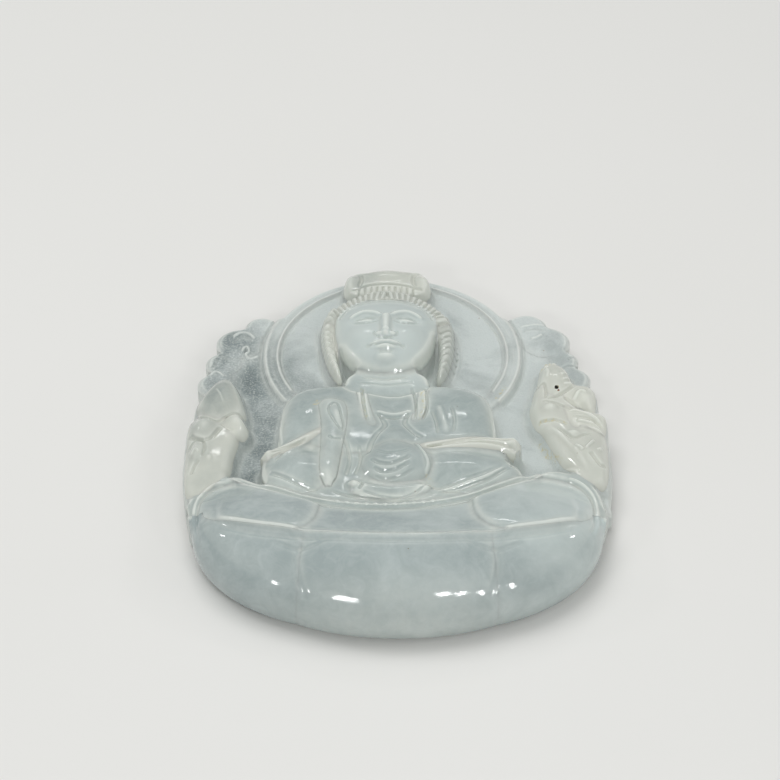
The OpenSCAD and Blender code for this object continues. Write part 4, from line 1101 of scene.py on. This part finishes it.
def jade_finish(name, colours, drift, sway, cover, rough, grain, frost=0.0):
    """A jade material: clouded body, painted glow on edges, seams and creases, painted highlight on ridges, a
    little wax, and its own polish or frost.
    """
    body, light, cloud, edge = (srgb(*colour) for colour in colours)
    way, start, end = drift
    material, tree, shader, place = new_material(name)
    distance = add(tree, "VectorMath", {0: place, 1: way}, operation="DOT_PRODUCT").outputs["Value"]
    towards_light = between(tree, distance, start, end)
    stone = add(tree, "Group", node_tree=clouds_group)
    connect(tree, stone, {"Body": body, "Light": light, "Cloud": cloud,
                          "Drift": towards_light, "Sway": sway, "Cover": cover})
    marks = add(tree, "Group", node_tree=marks_group)
    colour = stone.outputs["Color"]
    if frost:
        amount = between(tree, towards_light, 0, 1, frost, FROST_IN_LIGHT * frost)
        colour = frosted(tree, colour, stone.outputs["Grain"], amount, body)
    # Painted glow: mixed towards the glow colour at seams, ridges and creases.
    colour = mixed(tree, marks.outputs["Painted_Glow_Mask"], colour, edge)
    # Painted highlight: ridges and the cloud and halo rim are mixed towards near-white.
    colour = mixed(tree, times(tree, marks.outputs["Painted_Highlight"], PAINTED_HIGHLIGHT_SHARE), colour, PAINTED_HIGHLIGHT_AND_FROST_WHITE)
    deep = add(tree, "Attribute", attribute_name="deep").outputs["Fac"]
    specks = add(tree, "TexVoronoi", {"Vector": place, "Scale": SPECK_SCALE}).outputs["Distance"]
    specks = between(tree, specks, *SPECK_SIZE, 0.0, SPECK_SHARE)
    for mask, paint in ((deep, body), (marks.outputs["Wax"], WAX_COLOUR), (specks, SPECK_COLOUR),
                        (marks.outputs["Pit"], PIT_COLOUR), (marks.outputs["Rust"], RUST_COLOUR)):
        colour = mixed(tree, mask, colour, paint)
    dull = between(tree, stone.outputs["Wisps"], 0, 1, rough, rough + POLISH_SPREAD)
    for mask, amount in ((marks.outputs["Crease"], CREASE_DULL), (marks.outputs["Wax"], WAX_DULL)):
        dull = plus(tree, dull, times(tree, mask, amount))
    bump = add(tree, "Bump", {"Height": stone.outputs["Grain"], "Strength": 1.0, "Distance": grain})
    connect(tree, shader, {"Base Color": colour, "Roughness": dull, "Normal": bump.outputs["Normal"],
                           "IOR": IOR_JADE, "Subsurface Weight": GLOW,
                           "Subsurface Radius": GLOW_TINT, "Subsurface Scale": GLOW_DEPTH})
    return material


print("glow reaches", GLOW_DEPTH / MM, "mm")

# %% Four finishes of one stone
TO_CROWN, TO_LOWER_RIGHT, TO_UPPER_RIGHT, TO_SEAT = (0.15, 1, 0), (0.5, -0.3, 0), (0.8, 0.6, 0), (0.6, 0.5, 0)
# Colours of each finish: body, light, cloud, and the painted glow colour.
finishes = {
    "ground_jade": jade_finish(
        "ground_jade", ((106, 119, 120), (196, 204, 202), (208, 215, 215), (199, 205, 201)),
        (TO_UPPER_RIGHT, -0.006, 0.0), sway=0.8, cover=0.42, rough=0.36, grain=0.00009, frost=0.4),
    "pale_jade": jade_finish(
        "pale_jade", ((138, 148, 146), (200, 203, 194), (209, 212, 203), (214, 216, 206)),
        (TO_LOWER_RIGHT, -0.0116, -0.0088), sway=0.4, cover=0.5, rough=0.07, grain=0.000004),
    "jade": jade_finish(
        "jade", ((152, 164, 163), (189, 199, 197), (198, 207, 204), (204, 210, 203)),
        (TO_CROWN, 0.003, 0.010), sway=0.4, cover=0.5, rough=0.07, grain=0.000003),
    # The throne darkens towards its front and its left; towards the front this is painted shade that offsets
    # the extra light of the lamps in front.
    "throne_jade": jade_finish(
        "throne_jade", ((154, 166, 166), (188, 199, 197), (198, 207, 206), (204, 210, 204)),
        (TO_SEAT, -0.010, 0.004), sway=0.5, cover=0.5, rough=0.06, grain=0.0000025),
}
print("finishes:", ", ".join(finishes))

# %% [markdown]
# ## Making the pieces
# Now each piece is cut, marked and given its finish. Edges between the cut sides and the carved top stay
# sharp in the shading, because they are seams inside one stone and would otherwise show as dark lines.

# %% Cut, mark and finish every piece
BURY, BURY_STEPS, THINNEST = 0.5, 3, 0.05
UPRIGHT = 0.002
FRONT = [name for name in names if name.startswith("lower_petal")]
slot_of = {row["node"]: row["material_slot"] for row in frame["record"]["subparts"]}
hidden = inside & ~piece_mask("back_plaque")
for _ in range(BURY_STEPS):
    hidden = around(hidden).all(axis=0)
ground = np.where(hidden, relief - BURY, relief)
pieces_top = np.maximum(relief + PROUD, PLATE_TOP + THINNEST)


def finish_piece(node, bm):
    """Turns a piece in millimetres into a finished object in metres that stands for its node."""
    bm.normal_update()
    for e in bm.edges:
        upright = [abs(f.normal.z) < UPRIGHT for f in e.link_faces]
        e.smooth = len(upright) == 2 and upright[0] == upright[1]
    mesh = as_mesh(bm, "carved_" + node)
    mark(mesh, node)
    mesh.transform(Matrix.Scale(MM, 4))
    mesh.shade_smooth()
    obj = new_object("carved_" + node, mesh)
    mesh.materials.clear()
    mesh.materials.append(finishes[slot_of[node]])
    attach(obj, "root")
    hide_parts(node)
    return obj


triangles = 0
for node in names:
    if node in FRONT:
        bm = front_petal(node)
        meet_crest(bm)
    elif node == "back_plaque":
        bm = cut_out(node, ground, every=2, round_under=True)
    else:
        bm = cut_out(node, pieces_top)
    piece = finish_piece(node, bm)
    piece.data.calc_loop_triangles()
    triangles += len(piece.data.loop_triangles)
    print(node, len(piece.data.loop_triangles))
print("pieces:", len(names), "with", triangles, "triangles")

# %% [markdown]
# ## Floor, light and camera
# The stone lies on its back on a pale floor, under one large soft light and a soft surrounding. A few small
# lamps near the camera give the polished front its small bright reflections. Two lamps and a thin strip
# behind the stone do the same for the edges that face away. The camera looks down at the stone as in the
# photograph, through a long lens.

# %% Floor
FLOOR_SIZE, FLOOR_DROP, FLOOR_ROUGH = 1.6, 0.00002, 0.55
FLOOR_NOISE, FLOOR_TONES = (9, 3), (srgb(222, 222, 219), srgb(227, 227, 225))


def make_floor():
    """A large pale sheet just under the stone, a little uneven in tone."""
    bm = bmesh.new()
    bmesh.ops.create_grid(bm, x_segments=8, y_segments=8, size=FLOOR_SIZE / 2)
    floor = new_object("floor", as_mesh(bm, "floor"))
    floor.location.z = -FLOOR_DROP
    material, tree, shader, place = new_material("pale_floor")
    tone = mixed(tree, noise(tree, place, *FLOOR_NOISE), *FLOOR_TONES)
    connect(tree, shader, {"Base Color": tone, "Roughness": FLOOR_ROUGH})
    floor.data.materials.append(material)


make_floor()
print("floor laid")

# %% Lamps and surroundings
THRONE_FRONT = Vector((0, -0.0285, 0.0057))
LAMP_REACH = 0.4
GLINT, SHEEN = 25, 10
SURROUND = {"Color": srgb(235, 235, 233), "Strength": 0.44}


def area_lamp(name, place, aim, size, watts, mirrored):
    """A rectangular lamp that points at a place; polished surfaces mirror it or only take its light."""
    lamp = bpy.data.lights.new(name, "AREA")
    lamp.shape, lamp.size, lamp.size_y = "RECTANGLE", size[0], size[1]
    lamp.energy = watts
    obj = new_object(name, lamp)
    obj.location = place
    obj.rotation_euler = (Vector(aim) - Vector(place)).to_track_quat("-Z", "Y").to_euler()
    obj.visible_glossy = mirrored


area_lamp("overhead", (-0.10, 0.12, 0.45), (0, 0, 0), (0.40, 0.30), 1.2, False)
area_lamp("side", (0.42, -0.10, 0.30), (0, 0, 0), (0.25, 0.25), 0.25, False)
for name, way, size, strength in (
        ("front_left", (-0.32, -0.79, 0.52), (0.055, 0.045), GLINT),
        ("far_left", (-0.63, -0.62, 0.47), (0.025, 0.035), GLINT),
        ("front_right", (0.27, -0.70, 0.66), (0.028, 0.04), GLINT),
        ("right", (0.38, -0.70, 0.61), (0.022, 0.035), GLINT),
        ("far_right", (0.55, -0.67, 0.51), (0.02, 0.06), GLINT),
        ("back_left", (-0.774, 0.279, 0.569), (0.025, 0.025), GLINT),
        ("back_right", (0.774, 0.279, 0.569), (0.025, 0.025), GLINT),
        ("behind", (0.0, 0.743, 0.669), (0.12, 0.009), SHEEN)):
    watts = strength * math.pi * size[0] * size[1]
    area_lamp(name, THRONE_FRONT + LAMP_REACH * Vector(way), THRONE_FRONT, size, watts, True)
world = bpy.data.worlds.new("studio")
bpy.context.scene.world = world
world.use_nodes = True
connect(world.node_tree, world.node_tree.nodes["Background"], SURROUND)
bpy.context.scene.view_settings.view_transform = "Standard"
print("lamps set")

# %% Camera
VIEW_ANGLE = math.radians(22)
ELEVATION = math.radians(42)
DISTANCE = 0.2338
NEAREST = 0.01
IMAGE = 780
PIVOT_PIXEL = (398, 470)
pivot = Vector((0, -0.00255, 0))
back = Vector((0, -math.cos(ELEVATION), math.sin(ELEVATION)))
upwards = Vector((0, math.sin(ELEVATION), math.cos(ELEVATION)))
per_pixel = 2 * math.tan(VIEW_ANGLE / 2) / IMAGE
lens = bpy.data.cameras.new("camera")
lens.angle = VIEW_ANGLE
lens.clip_start = NEAREST
camera = new_object("camera", lens)
aside, below = ((pixel - IMAGE / 2) * per_pixel * DISTANCE for pixel in PIVOT_PIXEL)
aim = pivot + upwards * below - Vector((aside, 0, 0))
camera.location = pivot + back * DISTANCE
camera.rotation_euler = (aim - camera.location).to_track_quat("-Z", "Y").to_euler()
bpy.context.scene.camera = camera
print("camera at", camera.location)
